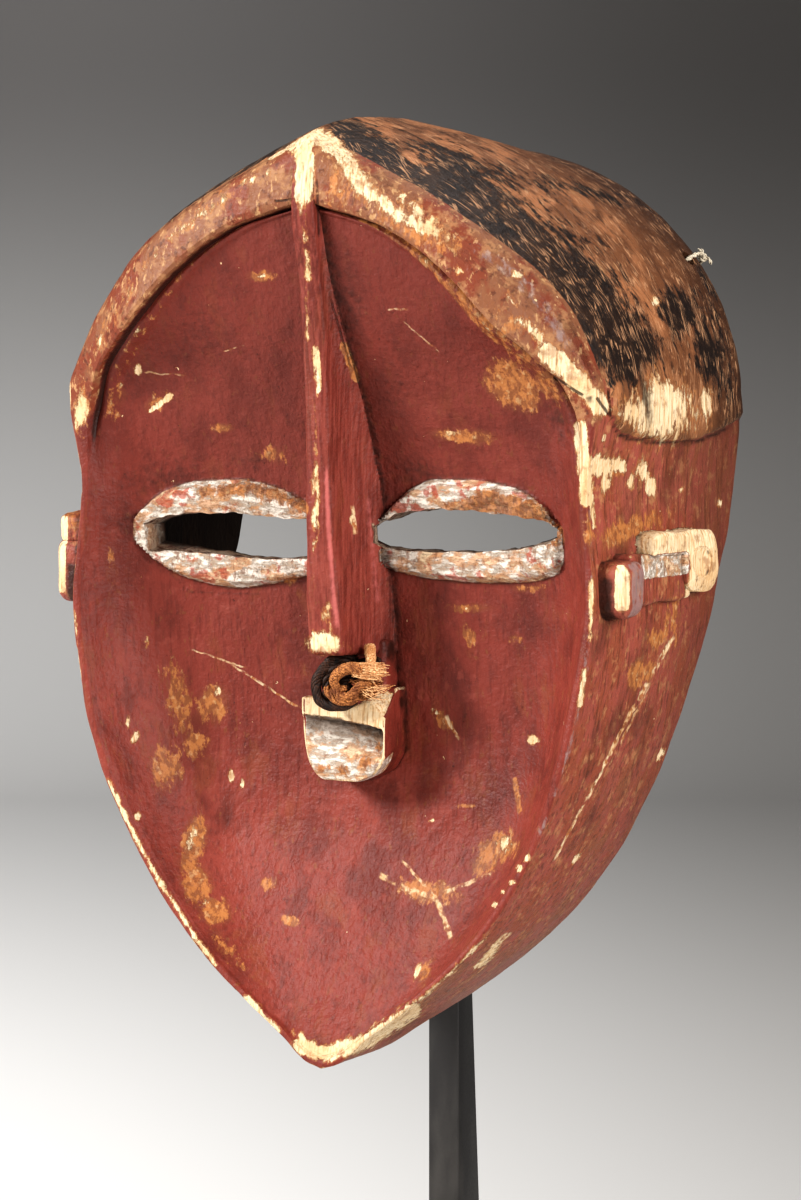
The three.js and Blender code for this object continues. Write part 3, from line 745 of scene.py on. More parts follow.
@dataclass
class Shell:
    """The face, rim and wall as one sheet, and the hollow that is cut out of it."""

    form: MaskForm
    field_columns: int = 72
    rim_columns: int = 9
    wall_columns: int = 46
    hollow_rows: int = 100

    def rows(self) -> Array:
        """Return the front edge's height at each row, closer together at the eyes."""
        form = self.form
        stretches = ((0, 150, 1.5), (150, 201, 1.05), (201, form.border_top, 1.45))
        heights = []
        for low, high, spacing in stretches:
            start, end = form.edge_length(low), form.edge_length(high)
            count = int(round((end - start) / spacing))
            heights.append(form.height_at(np.linspace(start, end, count + 1)[:-1]))
        rows = np.concatenate([*heights, [form.border_top]])
        rows[0] = 0.0
        return rows

    def outer(self) -> Sheet:
        """Return the outer form, closed flat across the rear."""
        form, z = self.form, self.rows()
        height = form.inner_height(z)
        width = form.inner_half_width(height)
        width[[0, -1]] = 0.0
        share = 1 - np.linspace(1, 0, self.field_columns + 1) ** 1.18
        x = share[None, :] * width[:, None]
        rows = np.broadcast_to(height[:, None], x.shape)
        depth = form.field_depth(x, rows) + self.border_lip(width[:, None] - x, rows)
        depth[:, -1] = form.inner_depth(height) + 0.5 * smooth(196, 214, height)
        right = np.stack([x, depth - RIGHT_EYE.raise_at(x, rows), rows], -1)
        left = np.stack([-x, depth - LEFT_EYE.raise_at(-x, rows), rows], -1)

        v = np.linspace(0, 1, self.wall_columns) ** 1.25
        wall = form.wall_points(z, v)
        rim = self.rim_points(z, height, right[:, -1], wall[:, 0])
        rear = np.stack([wall[:, -1] * np.array([u, 1, 1]) for u in (0.5, 0)], axis=1)
        half = np.concatenate([right, rim, wall, rear], axis=1)
        whole = mirrored(half)
        count = self.field_columns
        whole[:, -count:] = left[:, 1:][:, ::-1]

        length = np.broadcast_to(form.edge_length(z)[:, None], half.shape[:2])
        deep = np.concatenate([share, np.linspace(0, 1, self.rim_columns + 2)[1:-1], v, [1.0, 1.0]])
        zones = np.concatenate([
            np.full(count + 1, Zone.FIELD.value), np.full(self.rim_columns, Zone.RIM.value),
            np.full(self.wall_columns, Zone.WALL.value), np.full(2, Zone.REAR.value),
        ])
        across = np.broadcast_to(deep[None, :], half.shape[:2])
        zone = np.broadcast_to(zones[None, :].astype(float), half.shape[:2])
        return Sheet(whole, mirrored_values(zone), mirrored_values(length), mirrored_values(across))

    def border_lip(self, gap: Array, height: Array) -> Array:
        """Return the depth of the groove inside the border, and of the low lip beside it.

        Args:
            gap: Distance from the border.
            height: Height of each point.

        Returns:
            The change of depth, positive where the surface lies deeper.
        """
        groove = 0.8 * smooth(1.6, 0.4, gap)
        lip = 0.9 * smooth(1.2, 3.0, gap) * smooth(7.5, 4.0, gap)
        return (groove - lip) * smooth(192, 214, height)

    def rim_points(self, z: Array, height: Array, foot: Array, edge: Array) -> Array:
        """Return the points from the field's outer line over the rim to the front edge.

        Args:
            z: Edge height of each row.
            height: Height of the field's outer line of each row.
            foot: The outer line's points.
            edge: The front edge's points.

        Returns:
            An array of rows, columns and three coordinates.
        """
        form = self.form
        lip_at = mix(0.35, 0.07, smooth(188, 212, z))
        lip_depth = mix(form.edge_depth(z) - 0.2, form.border_depth(height), smooth(188, 212, z))
        round_at = 0.7
        round_depth = mix(lip_depth, edge[:, 1], 0.62) - mix(0.4, 1.6, smooth(205, 240, z))
        rows = []
        for share in np.linspace(0, 1, self.rim_columns + 2)[1:-1] ** 1.3:
            point = mix(foot, edge, share)
            first = smooth(0, 1, share / lip_at)
            second = np.clip((share - lip_at) / (round_at - lip_at), 0, 1)
            third = np.clip((share - round_at) / (1 - round_at), 0, 1)
            depth = mix(foot[:, 1], lip_depth, first)
            depth = np.where(share > lip_at, mix(lip_depth, round_depth, second), depth)
            depth = np.where(share > round_at, mix(round_depth, edge[:, 1], third**1.5), depth)
            point[:, 1] = depth
            rows.append(point)
        points = np.stack(rows, axis=1)
        points[[0, -1], :, 0] = 0.0
        return points

    def hollow(self) -> Sheet:
        """Return the form of the hollow, open past the rear rim."""
        form = self.form
        lengths = np.linspace(0, form.edge_length(form.border_top), self.hollow_rows + 1)
        z = form.height_at(lengths)
        edge = form.drawn_in(form.wall_points(z, np.array([0.0])))[:, 0]
        sunk = np.maximum(0.0, form.middle_depth(edge[:, 2]) - form.inner_depth(edge[:, 2]))
        u = np.linspace(0, 0.97, 26)
        depth = (form.middle_depth(edge[:, 2]) + form.face_wall)[:, None] - 0.35 * sunk[:, None] * u**4
        back = np.stack([u * edge[:, :1], depth, np.broadcast_to(edge[:, 2:], depth.shape)], -1)
        front_depth, rear_depth = form.edge_depth(z), form.rear_point(z)[:, 1]
        start = back[:, -1, 1] + 3
        share = np.clip((start - front_depth) / (rear_depth - front_depth), 0, 0.9)
        sides = []
        for s in np.linspace(0, 1, 18):
            rows = [
                form.wall_points(z[i : i + 1], np.array([mix(share[i], 1.0, s)]))[0, 0]
                for i in range(len(z))
            ]
            sides.append(form.drawn_in(np.array(rows)))
        side = np.stack(sides, axis=1)
        rim = side[:, -1]
        beyond = np.stack([rim * np.array([k, 1, 1]) + np.array([0, 12, 0]) for k in (1, 0)], axis=1)
        points = mirrored(np.concatenate([back, side, beyond], axis=1))
        return Sheet.of_zone(points, Zone.HOLLOW)


@dataclass
class Nose:
    """The long wedge of the nose, with a flat front strip."""

    form: MaskForm
    tip: float = 136.0
    top: float = 300.0
    front: Profile = Profile((
        (136, 7.3), (161, 4.4), (181, 2.6), (207, 1.6), (233, -0.2), (259, -3.5), (284, -8.8),
        (306, -5.5),
    ))
    strip: Profile = Profile(((136, 6.4), (161, 5.6), (185, 4.5), (207, 4.1), (306, 3.9)))
    base: Profile = Profile((
        (136, 13.5), (150, 13), (170, 12.2), (187, 11.5), (220, 9.5), (248, 7), (264, 5.6),
        (284, 4.6),
    ))

    def sheet(self) -> Sheet:
        """Return the nose as a closed form whose tip and edges are rounded by wear."""
        form = self.form
        heights = np.concatenate([
            self.tip + np.array([0.0, 0.35, 0.9, 1.7]), np.linspace(self.tip + 3, self.top, 96)
        ])
        half = []
        flank_steps = np.linspace(0, 1, 16)
        for z in heights:
            tuck = 1.5 * (1 - min(1.0, (z - self.tip) / 1.7)) ** 2
            front = float(self.front(z)) + tuck
            strip = float(self.strip(z)) - tuck
            base = float(self.base(z)) - 0.4 * tuck
            flank = float(form.field_depth(np.array(base), np.array(z))) + 0.4
            back = float(form.middle_depth(z)) + 4
            waver = 0.25 * math.sin(z * 0.21) + 0.15 * math.sin(z * 0.57 + 1)
            row = [(0.0, front - 0.25), (strip * 0.45, front - 0.2), (strip * 0.8, front + 0.02),
                   (strip * 0.95, front + 0.3), (strip + 0.15 + waver * 0.4, front + 0.95)]
            start_x, start_y = row[4]
            for s in flank_steps[1:]:
                hollow = 1.3 * math.sin(s * math.pi) * float(smooth(290, 240, z))
                side_x, side_y = mix(start_x, base, s), mix(start_y, flank, s)
                row.append((side_x - hollow * 0.75, side_y + hollow * 0.25))
            row += [(base, back), (0.0, back)]
            half.append([(x, y, z) for x, y in row])
        points = mirrored(np.array(half))
        return Sheet.of_zone(points, Zone.NOSE)


@dataclass
class Mouth:
    """The muzzle of the mouth, with its scooped opening, and the wood between it and the nose."""

    front: float = 19.5
    back: float = 42.0
    bottom: float = 93.6
    top: float = 128.0
    lower_lip: float = 101.6
    left_side: Profile = Profile((
        (93.6, 8.5), (95, 10.2), (97.5, 11.8), (101.2, 13.2), (108.5, 14.9), (115.8, 15.6), (128, 16),
    ))
    right_side: Profile = Profile((
        (93.6, 4), (95, 7), (97.3, 10.9), (100, 12.8), (103.1, 14.2), (107.5, 15.2), (128, 15.4),
    ))

    def lip_line(self, x: Array) -> Array:
        """Return the height of the upper lip's lower edge: it slopes down to the right."""
        return 114.0 - 0.135 * x - 0.003 * x**2

    def top_line(self, x: Array, y: Array) -> Array:
        """Return the height of the muzzle's top, which rises to the right and to the back."""
        left = 2.4 * smooth(-8, -11.5, x)
        right = smooth(2, 9, x) * np.minimum(1.6 + 0.5 * (y - self.front), 6.0)
        corner = 0.2 * np.maximum(0.0, x - 8.5) ** 1.7 * smooth(30, 20, y)
        return 118.7 + left + right - corner

    def carve(self, place: Array) -> Array:
        """Turn points of a plain block into points of the muzzle.

        Args:
            place: Points of the block.

        Returns:
            Points of the muzzle.
        """
        x, y, z = place.T
        share = (z - self.bottom) / (self.top - self.bottom)
        side = np.where(x < 0, self.left_side(z), self.right_side(z)) / 16.0
        x = x * side
        z = self.bottom + share * (self.top_line(x, y) - self.bottom)
        fall = np.maximum(0.0, z - self.lip_line(x)) / 8
        into = np.clip((y - self.front) / 3.0, 0, 1)
        y = y + 0.8 * fall**2 * (1 - into) + 1.2 * smooth(99, 93.6, z) * (1 - into)
        lip = self.lip_line(x)
        down = (lip - z) / (lip - self.lower_lip)
        hollow = smooth(-0.02, 0.1, down) * np.clip(1 - down, 0, 1) ** 0.85
        width = smooth(-16.4, -8, x) * 0.6 + 0.4
        depth = (5.2 + 0.14 * x) * width * smooth(15.0, 13.4, x)
        y = y + hollow * depth * (1 - into)
        return np.stack([x, y, z], -1)

    def muzzle(self) -> BMesh:
        """Make the muzzle."""
        bm = fine_block((-16, self.front, self.bottom), (16, self.back, self.top), (0.7, 0.7, 0.7), 46)
        places = self.carve(np.array([vert.co[:] for vert in bm.verts]))
        for vert, place in zip(bm.verts, places):
            vert.co = place
        return bm

    def bridge(self) -> BMesh:
        """Make the wood that joins the muzzle to the nose, behind the cord."""
        return fine_block((-6.5, 25.5, 112), (12.5, 42, 141), (2.5, 2.5, 1), 20)


@dataclass(frozen=True)
class Block:
    """A worn block of an ear, drawn over depth and height."""

    front: float
    bottom: float
    back: float
    top: float
    out: float
    worn: tuple[float, float, float]


@dataclass
class Ear:
    """One ear: a lug in front, a bar, a rim along the top and a block behind with a recess."""

    side: int
    lug: Block
    rim: Block
    bar: Block = Block(22, 154.5, 70, 171, 103.6, (1.4, 2, 2))
    block: Block = Block(62, 156.5, 87.5, 177.8, 106.4, (2.2, 8, 8))
    recess: Block = Block(66.5, 161.5, 79, 171.5, 105.0, (1.2, 4.5, 4.5))
    root: float = 90.0

    def shape(self, block: Block, inner: float, outer: float) -> BMesh:
        """Make one block from its inner to its outer distance from the middle of the face."""
        bm = fine_block(
            (inner, block.front, block.bottom), (outer, block.back, block.top), block.worn, 18
        )
        for vert in bm.verts:
            place = vert.co
            lean = 0.35 * math.sin(place.y * 0.21 + place.z * 0.13)
            vert.co = (place.x + lean * (place.x > 95), place.y, place.z + 0.3 * math.sin(place.y * 0.3))
        if self.side < 0:
            bmesh.ops.scale(bm, vec=(-1, 1, 1), verts=bm.verts)
            bmesh.ops.recalc_face_normals(bm, faces=bm.faces)
        return bm

    def solids(self) -> list[BMesh]:
        """Return the blocks that are added to the mask."""
        return [
            self.shape(block, self.root, block.out)
            for block in (self.lug, self.bar, self.rim, self.block)
        ]

    def cut(self) -> BMesh:
        """Return the block that is cut away for the recess."""
        return self.shape(self.recess, self.recess.out, self.recess.out + 10)


RIGHT_EAR = Ear(
    1, Block(11.5, 151, 25.5, 169.5, 108, (4, 4.5, 5)), Block(38, 169.5, 76, 177.5, 105.6, (1.8, 3.5, 3)),
)
LEFT_EAR = Ear(
    -1, Block(11.5, 151, 25.5, 172.5, 108, (4, 4.5, 5)), Block(13, 170.5, 75, 181, 106.4, (1.8, 3.5, 3)),
)
EARS = (RIGHT_EAR, LEFT_EAR)


# Where the paint is worn or stained, and where shade and highlights are painted, in pixels of the photograph


class Mark(Enum):
    """What a worn or stained place shows, or the painted shade or highlight laid there."""

    BARE = "bare"
    OCHRE = "ochre"
    GRIME = "grime"
    ASH = "ash"
    PINK = "pink"
    CHAR = "char"


BARE, OCHRE, GRIME, ASH, PINK, CHAR = Mark


@dataclass(frozen=True)
class Patch:
    """A worn or stained place, or a painted shade or highlight: an oval in the photograph."""

    mark: Mark
    x: float
    y: float
    half_width: float
    half_height: float
    strength: float = 1.0
    lean: float = 0.0

    def amount(self, pixels: Array) -> Array:
        """Return how strongly each point shows the mark: a half at the oval's edge."""
        angle = math.radians(self.lean)
        offset = pixels - np.array([self.x, self.y])
        along = offset[:, 0] * math.cos(angle) + offset[:, 1] * math.sin(angle)
        down = offset[:, 1] * math.cos(angle) - offset[:, 0] * math.sin(angle)
        reach = np.hypot(along / self.half_width, down / self.half_height)
        return np.clip(1 - 0.5 * reach, 0, 1) * self.strength


@dataclass(frozen=True)
class Streak:
    """A worn or stained line, or a painted shade or highlight, through points of the photograph."""

    mark: Mark
    points: tuple[tuple[float, float], ...]
    half_width: float
    strength: float = 1.0

    def amount(self, pixels: Array) -> Array:
        """Return how strongly each point shows the mark: a half at the line's edge."""
        nearest = np.full(len(pixels), 1e9)
        for start, end in zip(self.points, self.points[1:]):
            first, way = np.array(start), np.subtract(end, start)
            share = np.clip((pixels - first) @ way / (way @ way), 0, 1)
            gap = np.linalg.norm(pixels - first - share[:, None] * way, axis=1)
            nearest = np.minimum(nearest, gap)
        return np.clip(1 - 0.5 * nearest / self.half_width, 0, 1) * self.strength


# Worn and stained places, painted shade and painted highlights of the face, the border, the near side wall
# and the cap
MARKS: tuple[Patch | Streak, ...] = (
    # bare wood at the border's point and down its two slopes
    Streak(BARE, ((304, 138), (304, 194)), 8, 1.1),
    Streak(BARE, ((296, 142), (320, 136), (342, 156), (364, 188)), 10, 0.86),
    Streak(BARE, ((364, 190), (398, 214), (432, 232)), 11, 0.64),
    Streak(BARE, ((400, 196), (455, 238)), 9, 0.55),
    Streak(BARE, ((548, 352), (574, 378), (602, 406)), 9, 1.05),
    Streak(BARE, ((520, 318), (545, 345)), 7, 0.6),
    Patch(BARE, 459, 271, 5, 3, 0.9, 20),
    Patch(BARE, 517, 275, 7, 4, 1.0, 5),
    Patch(BARE, 512, 300, 12, 6, 0.62, 40),
    Patch(OCHRE, 338, 185, 14, 26, 0.7),
    Patch(OCHRE, 420, 232, 50, 16, 0.75, 25),
    Patch(OCHRE, 510, 322, 30, 12, 0.6, 45),
    Streak(ASH, ((478, 250), (512, 272), (545, 308), (566, 345)), 9, 0.6),
    Streak(BARE, ((255, 178), (208, 208), (168, 240)), 8, 0.5),
    Streak(BARE, ((160, 250), (136, 280), (112, 318)), 9, 0.42),
    Streak(BARE, ((112, 318), (92, 358), (80, 396)), 8, 0.46),
    Patch(BARE, 81, 412, 7, 20, 0.8),
    Patch(BARE, 268, 173, 4, 6, 0.8, 20),
    # the nose's front strip and its bare tip; pink streaks are painted highlights along the strip's right
    # edge and on the flank
    Streak(BARE, ((302, 206), (306, 236), (309, 282)), 4, 0.6),
    Streak(BARE, ((307, 290), (308, 340)), 3, 0.55),
    Streak(BARE, ((315, 345), (319, 390)), 3.6, 0.85),
    Streak(BARE, ((313, 396), (317, 470), (318, 540)), 3, 0.52),
    Streak(BARE, ((311, 470), (313, 600)), 2.6, 0.5),
    Streak(BARE, ((326, 606), (326, 622)), 5, 0.62),
    Patch(BARE, 323, 643, 18, 12, 0.92),
    Streak(PINK, ((326, 470), (329, 530), (333, 590), (338, 626)), 2.2, 0.9),
    Streak(PINK, ((368, 500), (374, 560), (378, 600)), 4, 0.5),
    Patch(BARE, 352, 518, 3, 9, 0.7, 12),
    Streak(OCHRE, ((344, 346), (356, 378)), 4, 0.9),
    # the forehead
    Patch(OCHRE, 512, 384, 26, 20, 0.95, 35),
    Patch(OCHRE, 530, 402, 12, 12, 0.8),
    Patch(BARE, 138, 371, 4, 6, 0.9),
    Streak(BARE, ((150, 411), (170, 396)), 3.5, 0.85),
    Patch(OCHRE, 158, 402, 14, 8, 0.8, -35),
    Patch(OCHRE, 222, 428, 12, 5, 0.75),
    Patch(OCHRE, 262, 276, 14, 6, 0.85),
    Patch(BARE, 262, 276, 7, 3, 0.7),
    Patch(BARE, 452, 433, 10, 3, 0.75, 4),
    Patch(BARE, 477, 438, 9, 3, 0.75, 4),
    Patch(OCHRE, 465, 436, 32, 8, 0.8, 5),
    Patch(OCHRE, 270, 455, 26, 12, 0.55),
    Patch(OCHRE, 120, 395, 8, 14, 0.55),
    # darker places of the forehead and round the eyes: partly rubbed dirt, partly painted shade under the
    # brows, beside the nose and along the lids
    Patch(GRIME, 165, 480, 62, 22, 0.5, -8),
    Patch(GRIME, 250, 462, 34, 16, 0.42),
    Patch(GRIME, 205, 330, 44, 60, 0.36, 12),
    Patch(GRIME, 345, 300, 26, 60, 0.5, -14),
    Patch(GRIME, 420, 470, 50, 20, 0.5, 10),
    Patch(GRIME, 395, 390, 24, 60, 0.42, -12),
    Patch(GRIME, 128, 520, 14, 24, 0.5),
    Patch(GRIME, 555, 560, 12, 34, 0.42),
    Streak(GRIME, ((446, 512), (500, 494), (548, 520)), 3.0, 0.5),
    Streak(GRIME, ((205, 494), (250, 480), (300, 498)), 2.6, 0.45),
    Streak(GRIME, ((148, 552), (190, 592), (260, 594)), 2.2, 0.42),
    Streak(OCHRE, ((205, 492), (250, 488), (290, 500), (304, 508)), 8, 0.75),
    Streak(OCHRE, ((438, 520), (490, 500), (530, 512), (552, 536)), 10, 1.05),
    Patch(OCHRE, 232, 506, 12, 8, 0.6),
    Streak(GRIME, ((440, 522), (490, 503), (530, 514), (552, 538)), 7, 0.42),
    Patch(OCHRE, 178, 574, 10, 6, 0.6, 20),
    Patch(OCHRE, 288, 580, 12, 6, 0.7),
    # the left cheek
    Patch(OCHRE, 178, 700, 14, 40, 0.72, -14),
    Patch(OCHRE, 212, 706, 16, 22, 0.78, 20),
    Patch(OCHRE, 166, 765, 16, 24, 0.82, 10),
    Patch(OCHRE, 196, 745, 16, 16, 0.7),
    Patch(OCHRE, 193, 843, 11, 26, 1.0, 14),
    Patch(OCHRE, 196, 884, 14, 22, 0.95, -20),
    Patch(OCHRE, 214, 910, 16, 13, 0.95, 20),
    Patch(OCHRE, 228, 950, 10, 30, 0.62, -38),
    Patch(BARE, 191, 840, 5, 16, 0.66, 14),
    Patch(BARE, 206, 905, 9, 8, 0.6),
    Patch(BARE, 218, 693, 5, 8, 0.7, 25),
    Patch(BARE, 128, 720, 3, 9, 0.85, 8),
    Patch(BARE, 135, 737, 5, 8, 0.7, 30),
    Patch(BARE, 232, 776, 3, 7, 0.9),
    Patch(BARE, 243, 784, 3, 6, 0.8),
    Patch(OCHRE, 290, 921, 9, 5, 1.0, 15),
    Patch(OCHRE, 270, 884, 10, 7, 0.75),
    Patch(BARE, 119, 816, 3, 7, 0.9),
    Patch(BARE, 138, 816, 3, 5, 0.9),
    Patch(BARE, 147, 640, 3, 12, 0.62, 10),
    Patch(OCHRE, 112, 560, 6, 22, 0.6),
    # the right cheek
    Patch(OCHRE, 430, 892, 34, 13, 0.82, 12),
    Patch(OCHRE, 497, 848, 20, 16, 0.95, -35),
    Patch(BARE, 505, 842, 8, 12, 0.7, 20),
    Patch(OCHRE, 483, 866, 14, 10, 0.8),
    Patch(OCHRE, 425, 972, 6, 16, 0.8, 20),
    Patch(BARE, 417, 972, 3, 9, 0.85, 25),
    Patch(BARE, 534, 740, 5.5, 4.5, 1.0),
    Patch(BARE, 432, 820, 2.5, 2.5, 0.9),
    Patch(OCHRE, 443, 720, 14, 7, 0.85, 50),
    Patch(BARE, 436, 712, 5, 3, 0.8, 40),
    Patch(OCHRE, 468, 636, 12, 7, 0.8, 60),
    Patch(OCHRE, 470, 608, 26, 6, 0.62),
    Patch(OCHRE, 528, 588, 18, 5, 0.7),
    Patch(OCHRE, 516, 640, 7, 6, 0.7),
    Patch(OCHRE, 467, 806, 12, 4, 0.7),
    Streak(OCHRE, ((515, 780), (520, 812)), 3, 0.85),
    Patch(BARE, 527, 858, 4, 4, 0.9),
    Patch(BARE, 519, 868, 4, 4, 0.9),
    Patch(BARE, 512, 882, 4, 3, 0.9),
    Patch(BARE, 503, 892, 3, 3, 0.8),
    Patch(BARE, 495, 905, 3, 3, 0.8),
    # the chin and the rim of the face
    Streak(BARE, ((297, 1046), (330, 1054), (368, 1040), (414, 1010)), 8, 0.95),
    Patch(BARE, 300, 1036, 14, 5, 0.6, 20),
    Streak(BARE, ((108, 782), (124, 815), (140, 846), (165, 890)), 4, 0.64),
    Streak(BARE, ((165, 890), (196, 938), (216, 965)), 3.5, 0.66),
    Streak(BARE, ((246, 998), (276, 1030)), 5, 0.75),
    Streak(BARE, ((74, 610), (76, 640), (80, 680)), 3, 0.55),
    Streak(BARE, ((418, 1002), (452, 972), (486, 938)), 4, 0.55),
    Streak(BARE, ((580, 428), (584, 470), (588, 500)), 6, 1.1),
    Streak(BARE, ((591, 500), (594, 528)), 3, 0.75),
    Streak(BARE, ((592, 580), (590, 640)), 3, 0.72),
    Streak(BARE, ((585, 668), (580, 705)), 3, 0.75),
    Streak(BARE, ((478, 968), (500, 942)), 5, 0.72),
    Streak(ASH, ((590, 505), (592, 590), (588, 650), (578, 710), (562, 775), (534, 850)), 4, 0.5),
    # paint lost under the temple
    Patch(BARE, 602, 466, 15, 11, 0.95, 15),
    Patch(BARE, 606, 482, 5, 13, 0.85),
    Patch(BARE, 620, 466, 10, 8, 0.85, 30),
    Patch(BARE, 630, 482, 5, 10, 0.8, 10),
    Patch(BARE, 643, 470, 6, 13, 0.85, -8),
    Patch(BARE, 651, 488, 6, 10, 0.95),
    Patch(BARE, 604, 438, 3, 6, 0.75),
    Patch(OCHRE, 612, 470, 26, 14, 0.75),
    Patch(BARE, 720, 503, 2.5, 5, 0.85),
    Patch(BARE, 680, 490, 3, 3, 0.7),
    # the side wall: rubbed round the ear, worn below it
    Patch(OCHRE, 630, 530, 38, 14, 0.8, -20),
    Patch(OCHRE, 590, 530, 8, 30, 0.6),
    Patch(OCHRE, 640, 675, 14, 18, 0.85, 30),
    Patch(OCHRE, 658, 640, 16, 14, 0.7),
    Patch(OCHRE, 672, 620, 12, 40, 0.62, 12),
    Patch(BARE, 577, 858, 3, 8, 0.75, 30),
    Patch(BARE, 661, 755, 3, 8, 0.8, 20),
    Patch(BARE, 620, 770, 3, 4, 0.6),
    # bare grain at the cap's lower front, charcoal over the rest of it
    Patch(BARE, 662, 410, 32, 32, 0.86),
    Patch(BARE, 632, 412, 16, 18, 0.7),
    Patch(BARE, 706, 404, 7, 26, 0.72),
    Patch(BARE, 655, 302, 6, 8, 0.7, 20),
    Patch(GRIME, 646, 398, 5, 30, 0.85, -8),
    Streak(CHAR, ((350, 136), (400, 175), (460, 215), (520, 258), (570, 305)), 26, 0.9),
    Streak(CHAR, ((440, 180), (520, 235), (590, 300), (625, 350)), 34, 1.0),
    Patch(CHAR, 625, 350, 24, 34, 0.95, -20),
    Patch(CHAR, 680, 312, 26, 22, 0.9, 30),
    Patch(CHAR, 712, 350, 22, 46, 0.85, -10),
    Patch(CHAR, 714, 275, 12, 30, 0.85, -25),
    Patch(CHAR, 575, 190, 90, 9, 0.7, 12),
    # the muzzle's front below the scoop
    Patch(OCHRE, 322, 768, 11, 6, 0.7),
    Patch(OCHRE, 343, 770, 12, 8, 0.72),
    Patch(OCHRE, 366, 762, 9, 8, 0.7),
    Patch(OCHRE, 378, 748, 6, 8, 0.66),
    # dirt and painted shade beside the knot, under the mouth and at the nose's foot, and a dark dot painted
    # for a small hole
    Patch(GRIME, 391, 648, 10, 16, 0.8, 10),
    Streak(GRIME, ((397, 660), (405, 700), (406, 750)), 4, 0.66),
    Patch(GRIME, 402, 702, 2.6, 5.5, 1.1),
    Streak(GRIME, ((388, 545), (393, 600), (395, 640)), 5, 0.6),
    Patch(GRIME, 589, 399, 3.2, 3.0, 1.1),
    Patch(GRIME, 560, 420, 12, 26, 0.55, -15),
)


